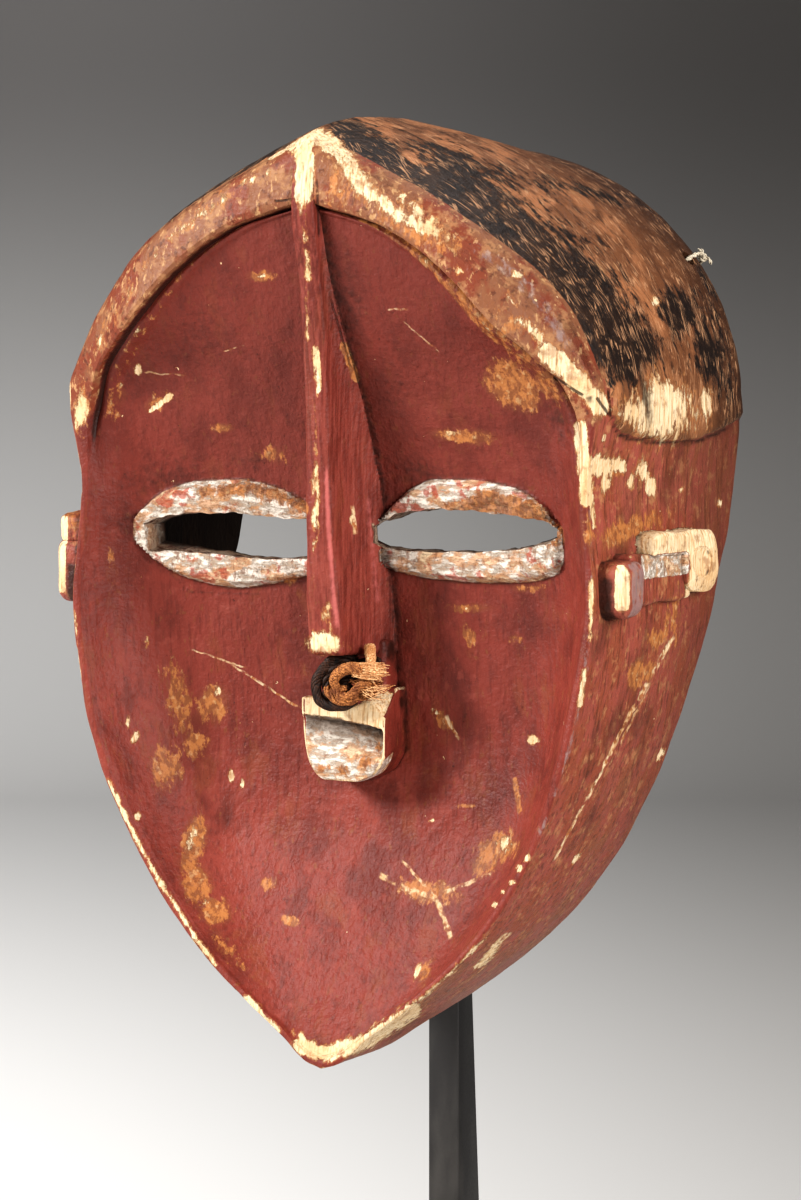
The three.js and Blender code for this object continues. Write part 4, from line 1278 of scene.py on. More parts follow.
@dataclass
class CarvedMask:
    """The mask: one piece of carved light wood, painted and worn."""

    name: str = "mask_carved_wood"
    broad_marks: tuple[float, float, float] = (22.0, 22.0, 22.0)
    tool_marks: tuple[float, float, float] = (6.0, 6.0, 13.0)
    fine_marks: tuple[float, float, float] = (2.6, 2.6, 2.6)
    hollow_rough: float = 2.2
    form: MaskForm = field(default_factory=MaskForm)
    view: PhotoCamera = field(default_factory=PhotoCamera)
    known_at: list[Array] = field(default_factory=list)
    known: list[Array] = field(default_factory=list)

    def part(self, bm: BMesh, name: str, zone: Zone) -> Object:
        """Put one closed form in the scene, ready to be joined or cut, and note its zone."""
        points = np.array([vert.co[:] for vert in bm.verts])
        self.known_at.append(points)
        self.known.append(np.tile([float(zone.value), 0.0, 0.0], (len(points), 1)))
        return link_object(name, mesh_of(bm, name))

    def sheet(self, sheet: Sheet, name: str) -> Object:
        """Put one sheet in the scene as a closed form, and note where its points lie."""
        self.known_at.append(sheet.points.reshape(-1, 3))
        self.known.append(np.stack([sheet.zone, sheet.run, sheet.across], -1).reshape(-1, 3))
        return link_object(name, mesh_of(sheet.bmesh(), name))

    def join(self) -> Mesh:
        """Join and cut all the forms into one closed surface, in millimetres."""
        shell, mouth = Shell(self.form), Mouth()
        body = self.sheet(shell.outer(), "shell")
        steps = [
            ("UNION", self.sheet(Nose(self.form).sheet(), "nose")),
            ("UNION", self.part(mouth.bridge(), "bridge", Zone.BRIDGE)),
            ("UNION", self.part(mouth.muzzle(), "muzzle", Zone.MOUTH)),
        ]
        for ear in EARS:
            steps += [("UNION", self.part(bm, "ear", Zone.EAR)) for bm in ear.solids()]
            steps.append(("DIFFERENCE", self.part(ear.cut(), "recess", Zone.RECESS)))
        steps.append(("DIFFERENCE", self.sheet(shell.hollow(), "hollow")))
        steps += [("DIFFERENCE", self.sheet(eye.cutter(self.form), "slit")) for eye in EYES]
        steps.append(("DIFFERENCE", self.part(self.twine_hole(), "twine_hole", Zone.SLIT)))
        for operation, other in steps:
            cut = body.modifiers.new(other.name, "BOOLEAN")
            cut.operation, cut.solver, cut.object = operation, "MANIFOLD", other
        graph = bpy.context.evaluated_depsgraph_get()
        joined = bpy.data.meshes.new_from_object(body.evaluated_get(graph))
        for _, other in steps:
            bpy.data.objects.remove(other)
        bpy.data.objects.remove(body)
        return joined

    def twine_hole(self) -> BMesh:
        """Make the drill of the small hole near the rear rim."""
        middle, along = twine_place(self.form)
        bm = bmesh.new()
        turn = Vector((0, 0, 1)).rotation_difference(Vector(along)).to_matrix().to_4x4()
        place = Matrix.Translation(Vector(middle) - Vector((0, TWINE_HOLE_FROM_RIM, 0)))
        bmesh.ops.create_cone(
            bm, cap_ends=True, segments=20, radius1=TWINE_HOLE, radius2=TWINE_HOLE,
            depth=TWINE_DRILL, matrix=place @ turn,
        )
        return bm

    def build(self) -> Object:
        """Make the mask's mesh with its marks of wear, painted shade and painted highlights stored on it."""
        mesh = self.join()
        at, normal = read_points(mesh, "co"), read_points(mesh, "normal")
        known_at, known = np.concatenate(self.known_at), np.concatenate(self.known)
        tree = kdtree.KDTree(len(known_at))
        for i, place in enumerate(known_at):
            tree.insert(place, i)
        tree.balance()
        zone, run, across = known[[tree.find(place)[1] for place in at]].T
        bend = self.curvature(mesh, at, normal)
        seen = smooth(-0.1, 0.12, self.facing(at, normal))
        values = WearMap(self.form, self.view, at, zone, run, across, bend, seen).values()
        self.carve(mesh, at, normal, zone, values)
        for key, amount in values.items():
            layer = mesh.attributes.new(key, "FLOAT", "POINT")
            layer.data.foreach_set("value", amount.astype(np.float32))
        place = mesh.attributes.new("wall_place", "FLOAT_VECTOR", "POINT")
        deep = across * (self.form.rear_depth_top - 8)
        spread = np.stack([run, deep, np.zeros(len(at))], -1) * MM
        place.data.foreach_set("vector", spread.astype(np.float32).ravel())
        return placed(mesh, self.name, 40)

    def facing(self, at: Array, normal: Array) -> Array:
        """Return the cosine between each point's normal and its way to the camera."""
        way = self.view.axes()[0] - at
        return (way * normal).sum(1) / np.linalg.norm(way, axis=1)

    def curvature(self, mesh: Mesh, at: Array, normal: Array) -> Array:
        """Measure how sharply the surface bends at each point.

        Args:
            mesh: The mask's mesh.
            at: Its points.
            normal: The normal at each point.

        Returns:
            One over the radius in millimetres, positive on an outward edge.
        """
        ends = np.empty(len(mesh.edges) * 2, int)
        mesh.edges.foreach_get("vertices", ends)
        first, second = ends.reshape(-1, 2).T
        way = at[second] - at[first]
        length = np.linalg.norm(way, axis=1) + 1e-4
        total, weight = np.zeros(len(at)), np.zeros(len(at))
        for here, sign in ((first, -2.0), (second, 2.0)):
            np.add.at(total, here, sign * (way * normal[here]).sum(1) / length)
            np.add.at(weight, here, length)
        bend = np.clip(total / weight, -1.5, 1.5)
        for _ in range(2):
            total, weight = bend.copy(), np.ones(len(at))
            for here, there in ((first, second), (second, first)):
                np.add.at(total, here, bend[there])
                np.add.at(weight, here, 1.0)
            bend = total / weight
        return bend

    def carve(
        self, mesh: Mesh, at: Array, normal: Array, zone: Array, values: dict[str, Array]
    ) -> None:
        """Move the surface a little, as the adze, the knife and long wear left it.

        Args:
            mesh: The mask's mesh, in millimetres.
            at: Its points.
            normal: The normal at each point.
            zone: The zone of each point.
            values: The marks of wear of each point.
        """
        broad, tools, fine = (
            np.array([noise.noise(Vector(place)) for place in at / np.array(size)])
            for size in (self.broad_marks, self.tool_marks, self.fine_marks)
        )
        rough = np.where(zone == Zone.HOLLOW.value, self.hollow_rough, 1.0)
        push = (0.35 * broad + 0.22 * tools) * rough + 0.09 * fine
        push -= 0.25 * smooth(0.4, 0.8, values["bare"] + 0.25 * fine)
        push += 0.22 * values["lid"] * fine
        still = at[:, 1] > self.form.rear_depth_top + 1
        moved = at + normal * (push * ~still)[:, None]
        mesh.vertices.foreach_set("co", moved.ravel())


@dataclass
class WearMap:
    """Works out what each point of the mask's surface shows."""

    form: MaskForm
    view: PhotoCamera
    at: Array
    zone: Array
    run: Array
    across: Array
    bend: Array
    seen: Array
    hidden_marks: float = 0.35
    far_marks: float = 0.9

    def within(self, *zones: Zone) -> Array:
        """Return 1 for each point in one of the zones and 0 for the others."""
        return np.isin(self.zone, [z.value for z in zones]).astype(float)

    def marked(self, mark: Mark) -> Array:
        """Return how strongly the photographed marks of one kind show at each point.

        The far side wall isn't in the photograph, so there the marks are those of the near
        side wall, mirrored and weaker. Other surfaces that the photograph doesn't show have
        fainter marks.
        """
        pixels = self.view.project(self.at)
        flipped = self.view.project(self.at * np.array([-1.0, 1.0, 1.0]))
        far_wall = (self.within(Zone.WALL, Zone.EAR) > 0) & (self.at[:, 0] < 0)
        unseen = self.within(Zone.HOLLOW, Zone.REAR, Zone.SLIT) > 0
        amount = np.zeros(len(self.at))
        for made in MARKS:
            if made.mark is mark:
                near = made.amount(pixels) * mix(self.hidden_marks, 1.0, self.seen)
                here = np.where(far_wall, made.amount(flipped) * self.far_marks, near)
                amount = np.maximum(amount, here)
        return np.where(unseen, 0.0, amount)

    def lids(self) -> Array:
        """Return 1 on the raised lids and 0 beyond them."""
        x, z = self.at[:, 0], self.at[:, 2]
        lid = np.zeros(len(x))
        for eye in EYES:
            out = x * eye.side
            near = (out > eye.inner - 2) & (out < eye.lid_outer + 2)
            end = smooth(eye.lid_outer + 0.5, eye.lid_outer - 2, out)
            upper, lower = eye.upper_lid(out) - z, z - eye.lower_lid(out)
            inside = smooth(-0.4, 1.4, upper) * smooth(-0.4, 1.4, lower) * end
            lid = np.maximum(lid, np.where(near, inside, 0.0))
        return lid * self.within(Zone.FIELD, Zone.SLIT)

    def ear_parts(self) -> dict[str, Array]:
        """Return the parts of the ears that differ in colour."""
        x, y, z = np.abs(self.at[:, 0]), self.at[:, 1], self.at[:, 2]
        ear = self.within(Zone.EAR)
        lug = ear * smooth(27.5, 26, y)
        return {
            "lug_face": lug * smooth(104.5, 106, x) * smooth(13.5, 15.5, y),
            "lug_edge": lug * smooth(101.5, 104, x) * smooth(15.2, 13, y) * smooth(152, 155, z),
            # painted shade at the root of the lug
            "lug_root_shade": lug * smooth(104.5, 101, x) * smooth(167, 162, z) * smooth(20, 14, y),
            "bar": ear * smooth(28, 31, y) * smooth(66, 62, y) * smooth(161.5, 164, z) * smooth(171, 170, z),
            "rim": ear * smooth(170.2, 171, z) * smooth(30, 36, y),
            "block": ear * smooth(62, 65, y) + self.within(Zone.RECESS),
        }

    def values(self) -> dict[str, Array]:
        """Return every mark of wear, of painted shade and highlight, and every zone, by the name of its
        attribute.
        """
        x, y, z = self.at.T
        form, lid, ear_parts = self.form, self.lids(), self.ear_parts()
        rim, wall = self.within(Zone.RIM), self.within(Zone.WALL, Zone.REAR)
        mouth, nose, ear = self.within(Zone.MOUTH), self.within(Zone.NOSE), self.within(Zone.EAR, Zone.RECESS)
        field_zone = self.within(Zone.FIELD)
        ridge = self.within(Zone.WALL) * smooth(0.05, 0.02, self.across)
        border = np.maximum(rim, ridge) * smooth(206, 222, z)
        front = smooth(0.02, 0.045, self.across)
        cap = self.within(Zone.WALL) * smooth(-0.6, 0.9, z - form.cap_foot(self.across)) * front
        rear = smooth(1.5, 0.0, np.abs(form.rear_depth_top - y)) * (z > 200)

        slit, deep = self.within(Zone.SLIT), smooth(4, 9, y - form.field_depth(x, z))

        lines = Mouth()
        muzzle_front = mouth * smooth(28.0, 26.5, y) * smooth(15.2, 14.6, np.abs(x))
        lip = muzzle_front * smooth(-0.6, 0.4, z - lines.lip_line(x))
        # painted shadow in the scoop under the upper lip, darkest just below the lip
        scoop_shadow = muzzle_front * (1 - lip) * smooth(100.6, 102.2, z)
        scoop_shadow *= smooth(102.5, 111.5, z + 0.16 * x)

        edge = smooth(0.1, 0.42, self.bend)
        crease = smooth(0.1, 0.5, -self.bend)
        edge *= np.maximum.reduce([rim, self.within(Zone.WALL), nose, mouth * 1.2, ear])
        edge *= 1 - 0.6 * cap - 0.35 * border
        lip_ridge = field_zone * smooth(0.88, 0.93, self.across) * smooth(0.985, 0.965, self.across)
        lip_ridge *= smooth(200, 214, z)
        edge = np.maximum(edge, 0.6 * lip_ridge)

        # painted shade in the groove inside the border
        groove = field_zone * smooth(0.985, 0.995, self.across) * smooth(196, 214, z)
        strip = field_zone * smooth(0.85, 0.89, self.across) * smooth(205, 225, z) * (x > 0)
        nose_side = np.abs(x) - Nose(form).base(z)
        # painted shadow at the nose's foot, stronger on the right side
        foot = field_zone * smooth(5.0, 0.0, nose_side) * smooth(134, 140, z) * smooth(290, 276, z)
        foot *= np.where(x > 0, 0.62, 0.3)
        # painted shadow under the cap's step
        cap_step_shadow = self.within(Zone.WALL) * smooth(1.7, 0.3, np.abs(z + 0.9 - form.cap_foot(self.across)))
        cap_step_shadow *= smooth(0.05, 0.08, self.across) * smooth(1.0, 0.85, self.across) * 0.7
        # the dark layer: photographed dirt and painted shade, plus painted shade in the border's groove, at
        # the nose's foot, under the cap's step, in creases, at the lug's root and where the ears meet the
        # wall, and a faint darker strip inside the right border
        grime = np.maximum.reduce([
            self.marked(GRIME), groove, 0.3 * strip, foot, cap_step_shadow, 0.62 * crease * (1 - lid),
            0.8 * ear_parts["lug_root_shade"], ear * smooth(101.5, 98.6, np.abs(x)) * 0.6,
        ])
        bare = np.maximum.reduce([
            self.marked(BARE), lip * 0.78, ear_parts["lug_edge"] * 0.85, ear_parts["rim"] * 0.85,
            ear_parts["block"] * 0.66,
        ])
        clay = np.maximum.reduce([lid, muzzle_front * (1 - lip), ear_parts["bar"] * 0.85])
        return {
            "bare": np.clip(bare, 0, 1.2),
            "ochre": np.maximum(self.marked(OCHRE), 0.52 * strip),
            "ash": np.maximum(self.marked(ASH), 0.6 * ear_parts["lug_face"]),
            "pink": self.marked(PINK),
            "char": self.marked(CHAR),
            "clay": clay,
            "lid": lid,
            "scoop_shadow": scoop_shadow,
            "edge": edge,
            "grime": np.clip(grime, 0, 1),
            "side": np.clip(wall + ear, 0, 1) * (1 - cap),
            "border": border,
            "cap": cap,
            # the hollow, the top of the rear rim and the slits' deep parts take the hollow's dark colour,
            # partly as painted shade
            "inside": np.clip(self.within(Zone.HOLLOW) + 0.75 * rear + slit * deep, 0, 1),
            "slit": slit * (1 - deep),
            "nose": nose,
            # how high a point lies: it darkens the upper face as painted shade
            "upper": smooth(90, 250, z),
        }


# Finishes of the mask


@dataclass(frozen=True)
class Scratch:
    """A thin scratch or crack, straight between two pixels of the photograph."""

    start: tuple[float, float]
    end: tuple[float, float]
    depth: float
    half_width: float = 0.45
    strength: float = 1.0
    waver: float = 2.2

    def share(self, board: NodeBoard, place: Any, bend: Any, view: PhotoCamera) -> Any:
        """Return 1 on the scratch and 0 beside it.

        Args:
            board: The material's nodes.
            place: Object coordinates.
            bend: Noise that bends and breaks the line.
            view: The camera that the pixels belong to.

        Returns:
            The output socket of the share.
        """
        first = to_metres(view.at_depth(*self.start, self.depth))
        last = to_metres(view.at_depth(*self.end, self.depth))
        eye = to_metres(view.axes()[0])
        beside = (first - eye).cross(last - eye).normalized()
        along = (last - first).normalized()
        offset = board.add("VectorMath", {0: place, 1: beside}, out=1, operation="DOT_PRODUCT")
        run = board.add("VectorMath", {0: place, 1: along}, out=1, operation="DOT_PRODUCT")
        stray = self.waver * MM
        bent = board.plus(-eye.dot(beside) - stray / 2, bend, stray)
        gap = board.apart(board.plus(offset, bent), 0.0)
        across = board.rise(gap, self.half_width * MM, self.half_width * 0.4 * MM)
        middle, half = along.dot(first + last) / 2, (last - first).length / 2
        within = board.rise(board.apart(run, middle), half, half * 0.8)
        return board.both(across, within, board.rise(bend, 0.62, 0.5), self.strength)


SCRATCHES = (
    Scratch((178, 645), (232, 663), 22, 0.4, 0.6),
    Scratch((226, 661), (300, 708), 30, 0.5, 0.85),
    Scratch((372, 870), (412, 892), 22, 1.3, 0.9),
    Scratch((405, 886), (438, 900), 22, 1.2, 0.85),
    Scratch((436, 896), (452, 940), 20, 1.1, 0.85),
    Scratch((396, 854), (436, 898), 22, 0.7, 0.7),
    Scratch((434, 896), (486, 876), 20, 0.9, 0.7),
    Scratch((410, 309), (432, 309), 20, 0.4, 0.4),
    Scratch((418, 334), (452, 362), 22, 0.35, 0.4),
    Scratch((668, 646), (630, 715), 50, 0.9, 0.95),
    Scratch((634, 706), (592, 790), 42, 0.75, 0.9),
    Scratch((596, 780), (556, 858), 30, 0.55, 0.8),
    Scratch((648, 690), (612, 760), 44, 0.5, 0.6),
    Scratch((150, 372), (190, 376), 15, 0.35, 0.4),
    Scratch((235, 348), (258, 342), 18, 0.3, 0.4),
    Scratch((444, 712), (458, 738), 30, 0.8, 0.8),
    Scratch((352, 505), (356, 535), 16, 0.8, 0.9),
    Scratch((478, 968), (500, 942), 12, 1.2, 0.8),
)

CRACKS = (
    Scratch((572, 388), (590, 399), 26, 0.5, 1.0, 0.8),
    Scratch((587, 398), (603, 408), 26, 0.6, 1.0, 0.8),
    Scratch((608, 390), (611, 420), 34, 0.5, 1.0, 0.8),
    Scratch((610, 416), (620, 430), 36, 0.6, 1.0, 0.8),
    Scratch((288, 200), (316, 198), 2, 0.45, 0.9, 0.8),
    Scratch((317, 180), (319, 240), 6, 0.45, 0.8, 0.8),
    Scratch((331, 300), (352, 372), 12, 0.4, 0.7, 1.0),
    Scratch((298, 714), (345, 719), 19, 0.35, 0.5, 0.8),
)


@dataclass(frozen=True)
class WornPaintedWood:
    """Light wood under red earth pigment, white clay and charcoal, worn by long use.

    The pigments were rubbed on by hand in a thin, lumpy coat: they are nearly matt, with a
    faint sheen where the mask was held, and come off in chips that show tan and pale wood.
    """

    view: PhotoCamera
    red: str = "#7B3429"
    red_deep: str = "#5A241C"
    red_dark: str = "#2F130D"
    red_dusty: str = "#8E463A"
    red_brown: str = "#7C4228"
    # colour of the painted highlights on the nose
    red_pink: str = "#C26C66"
    side_red: str = "#8C4833"
    side_brown: str = "#845339"
    side_mauve: str = "#9A4E46"
    side_dark: str = "#4E281B"
    side_tan: str = "#B58259"
    border_brown: str = "#7D5037"
    border_tan: str = "#9F734F"
    border_red: str = "#73301F"
    wood: str = "#DDC6A2"
    wood_mid: str = "#C59C6D"
    wood_dark: str = "#87603E"
    ochre: str = "#AE713F"
    ochre_brown: str = "#7B492B"
    clay: str = "#E0D6C8"
    clay_grey: str = "#A18A75"
    clay_tan: str = "#B98356"
    clay_red: str = "#A34430"
    ash: str = "#8E7B78"
    charcoal: str = "#141110"
    cap_pale: str = "#C0906A"
    cap_salmon: str = "#A06A46"
    cap_brown: str = "#603B25"
    cap_dark: str = "#2E1C13"
    # colour of the painted shadow in the mouth's scoop
    scoop_shadow: str = "#5C4A3E"
    grime: str = "#20120C"
    # the hollow's colour: dark wood, darker still as painted shade
    inside: str = "#2E1F16"

    def material(self) -> Material:
        """Make the material."""
        board = NodeBoard("worn_painted_wood")
        place = board.add("TexCoord", out="Object")
        wall_place = board.stored("wall_place", out=1)
        names = (
            "bare", "ochre", "ash", "pink", "char", "clay", "lid", "scoop_shadow", "edge", "grime", "side",
            "border", "cap", "inside", "slit", "nose", "upper",
        )
        get = {key: board.stored(key) for key in names}
        marks = {
            "grit": board.grain(place, 0.9, 3),
            "lumps": board.grain(place, 2.3, 4),
            "chips": board.grain(place, 5.5, 10, rough=0.62),
            "flakes": board.grain(place, 2.0, 7, (1, 1, 2.0), 0.6),
            "clouds": board.grain(place, 17, 7, (1, 1, 1.6), 0.58),
            "broad": board.grain(place, 60, 4),
            "upright": board.grain(place, 1.2, 5, (1, 1, 13)),
            "ragged": board.grain(place, 3.2, 10, (1, 1, 1.9), 0.72),
            "smears": board.grain(place, 9, 9, (1, 1, 2.6), 0.66),
        }
        colour = self.red_paint(board, marks, get)
        colour = board.lay(colour, self.side_paint(board, place, marks, get), get["side"])
        border = board.worn_edge(get["border"], marks["flakes"], 0.5, 0.1)
        colour = board.lay(colour, self.border_paint(board, marks), border)
        cap, strokes = self.charcoal_cap(board, place, wall_place, marks, get["char"])
        colour = board.lay(colour, cap, board.worn_edge(get["cap"], marks["chips"], 0.7, 0.08))

        ash_share = board.worn_edge(get["ash"], marks["flakes"], 1.0, 0.1)
        colour = board.lay(colour, self.ash, board.both(ash_share, 0.6))
        # painted highlights along the nose strip's edge and on its flank
        highlight_share = board.worn_edge(get["pink"], marks["lumps"], 0.6, 0.3)
        colour = board.lay(colour, self.red_pink, board.both(highlight_share, 0.6))
        colour, clay_share = self.white_clay(board, place, marks, colour, get)
        colour, worn = self.worn_wood(board, place, marks, colour, get)

        # dirt and painted shade, joined with the cracks
        dirt_and_shade = board.worn_edge(get["grime"], marks["lumps"], 0.7, 0.3)
        cracks = self.lines(board, CRACKS, place, marks["chips"], get)
        dirt_and_shade = board.either(dirt_and_shade, cracks)
        colour = board.lay(colour, self.grime, board.both(dirt_and_shade, 0.85))
        pits = board.rise(board.grain(place, 1.7, 2), 0.735, 0.79)
        colour = board.lay(colour, self.grime, board.both(pits, 0.55))
        # the hollow's dark wood, partly painted shade
        inside = self.shaded_hollow_wood(board, marks)
        colour = board.lay(colour, inside, get["inside"])
        slit = self.shares(board, self.side_dark, (self.clay_grey, marks["flakes"], 0.36, 0.6, 1.0))
        colour = board.lay(colour, slit, get["slit"])

        rough = board.plus(0.34, marks["chips"], 0.3)
        for share, most in ((worn, 0.75), (clay_share, 0.85), (get["inside"], 0.85)):
            rough = board.either(rough, board.both(share, most))
        surface = None
        for height, depth in (
            (worn, -0.22), (clay_share, 0.25), (cracks, -0.5), (strokes, 0.12), (marks["lumps"], 0.5),
            (marks["smears"], 0.5), (marks["upright"], 0.18), (marks["grit"], 0.2),
        ):
            surface = board.relief(height, depth, surface)
        board.set_surface(Base_Color=colour, Roughness=rough, Normal=surface)
        board.surface.inputs["IOR"].default_value = 1.45
        board.surface.inputs["Specular IOR Level"].default_value = 0.22
        return board.material

    def shares(self, board: NodeBoard, colour: Any, *layers: tuple[str, Any, float, float, float]) -> Any:
        """Lay colours over a colour, each where a noise passes from low to high.

        Args:
            board: The material's nodes.
            colour: The colour below.
            *layers: For each layer its colour, its noise, low, high and its strength.

        Returns:
            The colour.
        """
        for shade_name, value, low, high, strength in layers:
            share = board.both(board.rise(value, low, high), strength)
            colour = board.lay(colour, shade_name, share)
        return colour

    def red_paint(self, board: NodeBoard, marks: dict, get: dict) -> Any:
        """Return the colour of the face's red pigment: darker above as painted shade, dusty below, with
        lighter streaks on the nose that are partly a painted highlight.
        """
        red = self.shares(
            board, self.red,
            (self.red_dusty, marks["broad"], 0.46, 0.66, 0.25),
            (self.red_deep, marks["clouds"], 0.46, 0.64, 0.7),
            (self.red_dusty, marks["chips"], 0.55, 0.68, 0.5),
            (self.red_dark, marks["smears"], 0.53, 0.68, 0.4),
            (self.red_brown, marks["smears"], 0.46, 0.36, 0.4),
            (self.red_deep, marks["upright"], 0.5, 0.66, 0.4),
            (self.red_dark, marks["ragged"], 0.57, 0.68, 0.4),
            (self.red_dusty, marks["grit"], 0.62, 0.74, 0.4),
            (self.ochre_brown, marks["flakes"], 0.61, 0.68, 0.55),
        )
        # painted shade: the upper face darker
        painted_shade = board.both(get["upper"], 0.52)
        red = board.lay(red, self.red_deep, painted_shade)
        # lighter streaks on the nose: partly dusty paint, partly a painted highlight
        nose_dust_and_sheen = board.both(board.rise(marks["upright"], 0.6, 0.36), 0.5)
        return board.lay(red, self.red_dusty, board.both(nose_dust_and_sheen, get["nose"]))

    def side_paint(self, board: NodeBoard, place: Any, marks: dict, get: dict) -> Any:
        """Return the colour of the side wall: rubbed red over brown wood, darker behind with painted shade,
        and a little darker low down.
        """
        side = self.shares(
            board, self.side_red,
            (self.side_brown, marks["broad"], 0.46, 0.6, 0.75),
            (self.side_mauve, marks["smears"], 0.56, 0.44, 0.5),
            (self.side_tan, marks["chips"], 0.53, 0.66, 0.55),
            (self.side_dark, marks["clouds"], 0.5, 0.68, 0.6),
            (self.side_dark, marks["upright"], 0.52, 0.66, 0.6),
            (self.side_tan, marks["ragged"], 0.55, 0.66, 0.65),
            (self.side_dark, marks["lumps"], 0.6, 0.72, 0.5),
        )
        depth = board.add("SeparateXYZ", {"Vector": place}, out=1)
        # darker towards the rear: darker wood with painted shade
        behind = board.both(board.rise(depth, -0.012, 0.05), 0.62)
        side = board.lay(side, self.side_dark, behind)
        below = board.both(board.left_of(get["upper"]), 0.16)
        return board.lay(side, self.side_dark, below)

    def border_paint(self, board: NodeBoard, marks: dict) -> Any:
        """Return the colour of the border: brown and tan wood with red left in places."""
        return self.shares(
            board, self.border_brown,
            (self.border_red, marks["clouds"], 0.47, 0.56, 0.75),
            (self.border_tan, marks["chips"], 0.49, 0.62, 0.75),
            (self.wood_mid, marks["flakes"], 0.58, 0.64, 0.55),
            (self.side_dark, marks["lumps"], 0.56, 0.7, 0.7),
        )

    def charcoal_cap(
        self, board: NodeBoard, place: Any, wall_place: Any, marks: dict, char: Any
    ) -> tuple[Any, Any]:
        """Return the colour of the cap and where its charcoal lies.

        The charcoal lies in ragged strokes along the cap's arch, crossed by fine pale
        scratches; towards the rear the brown wood is darker, partly as painted shade, and smoother.
        """
        sway = board.add("TexNoise", {"Vector": wall_place, "Scale": 55.0, "Detail": 2.0}, out=1)
        bend = {0: sway, 1: (0.006, 0.006, 0.0), 2: wall_place}
        bent = board.add("VectorMath", bend, operation="MULTIPLY_ADD")
        along = board.grain(bent, 4.2, 11, (2.2, 1, 1), 0.72)
        fibres = board.grain(bent, 1.0, 5, (16, 1, 1), 0.6)
        leaning = board.add("Mapping", {"Vector": bent, "Rotation": (0, 0, math.radians(-22))})
        hairs = board.grain(bent, 1.5, 2, (17, 1, 1), 0.4)
        crossing = board.grain(leaning, 1.9, 2, (15, 1, 1), 0.4)
        ground = self.shares(
            board, self.cap_salmon,
            (self.cap_brown, marks["clouds"], 0.4, 0.54, 0.8),
            (self.wood_mid, along, 0.42, 0.3, 0.5),
            (self.cap_dark, along, 0.53, 0.6, 0.7),
            (self.cap_dark, fibres, 0.52, 0.64, 0.6),
            (self.charcoal, marks["ragged"], 0.57, 0.66, 0.6),
        )
        depth = board.add("SeparateXYZ", {"Vector": place}, out=1)
        # darker towards the rear: darker wood with painted shade
        behind = board.both(board.rise(depth, -0.01, 0.03), 0.6)
        ground = board.lay(ground, self.cap_brown, behind)
        rear_dark_and_shade = board.both(board.rise(depth, 0.015, 0.055), 0.75)
        ground = board.lay(ground, self.cap_dark, rear_dark_and_shade)
        amount = board.plus(-0.27, char, 0.42)
        for value, times in ((along, 0.7), (marks["ragged"], 0.35), (marks["clouds"], 0.3)):
            amount = board.plus(amount, value, times)
        strokes = board.rise(amount, 0.57, 0.66)
        cap = board.lay(ground, self.charcoal, board.both(strokes, 0.92))
        for lines, width, strength in ((hairs, 0.026, 0.55), (crossing, 0.024, 0.65)):
            gap = board.apart(lines, 0.55)
            line = board.both(board.rise(gap, width, width * 0.3), strength)
            line = board.both(line, board.rise(marks["chips"], 0.46, 0.56))
            cap = board.lay(cap, self.cap_pale, line)
        return cap, strokes

    def white_clay(
        self, board: NodeBoard, place: Any, marks: dict, colour: Any, get: dict
    ) -> tuple[Any, Any]:
        """Lay the white clay of the lids, lips and ears over a colour.

        It is crumbly: white over grey-brown, with tan wood and red where it has come off.
        Painted shade runs along the lids' edges, and a painted shadow darkens the scoop under the upper lip.
        """
        crumbs = board.grain(place, 1.6, 8, (3, 1, 1), 0.68)
        lost = board.grain(place, 6.5, 7, (1.6, 1, 1), 0.62)
        clay = self.shares(
            board, self.clay_grey,
            (self.clay, crumbs, 0.38, 0.58, 0.9),
            (self.clay_tan, lost, 0.48, 0.55, 0.75),
            (self.wood, lost, 0.58, 0.63, 0.75),
            (self.ochre_brown, marks["flakes"], 0.56, 0.66, 0.6),
            (self.grime, marks["grit"], 0.62, 0.72, 0.5),
        )
        red = board.rise(board.grain(place, 8, 6, rough=0.6), 0.56, 0.62)
        red = board.both(red, get["lid"], 0.75)
        clay = board.lay(clay, self.clay_red, red)
        # painted shadow in the scoop under the upper lip
        clay = board.lay(clay, self.scoop_shadow, board.both(get["scoop_shadow"], 0.85))
        share = board.worn_edge(get["clay"], marks["flakes"], 0.7, 0.06)
        # painted shade along the lids' edges, broken up by chips
        lid_edge_shade = board.apart(get["lid"], 0.42)
        lid_edge_shade = board.both(board.rise(lid_edge_shade, 0.4, 0.1), board.rise(marks["chips"], 0.38, 0.5))
        colour = board.lay(colour, clay, share)
        colour = board.lay(colour, self.side_dark, board.both(lid_edge_shade, 0.7))
        return colour, board.both(share, board.rise(crumbs, 0.4, 0.56))

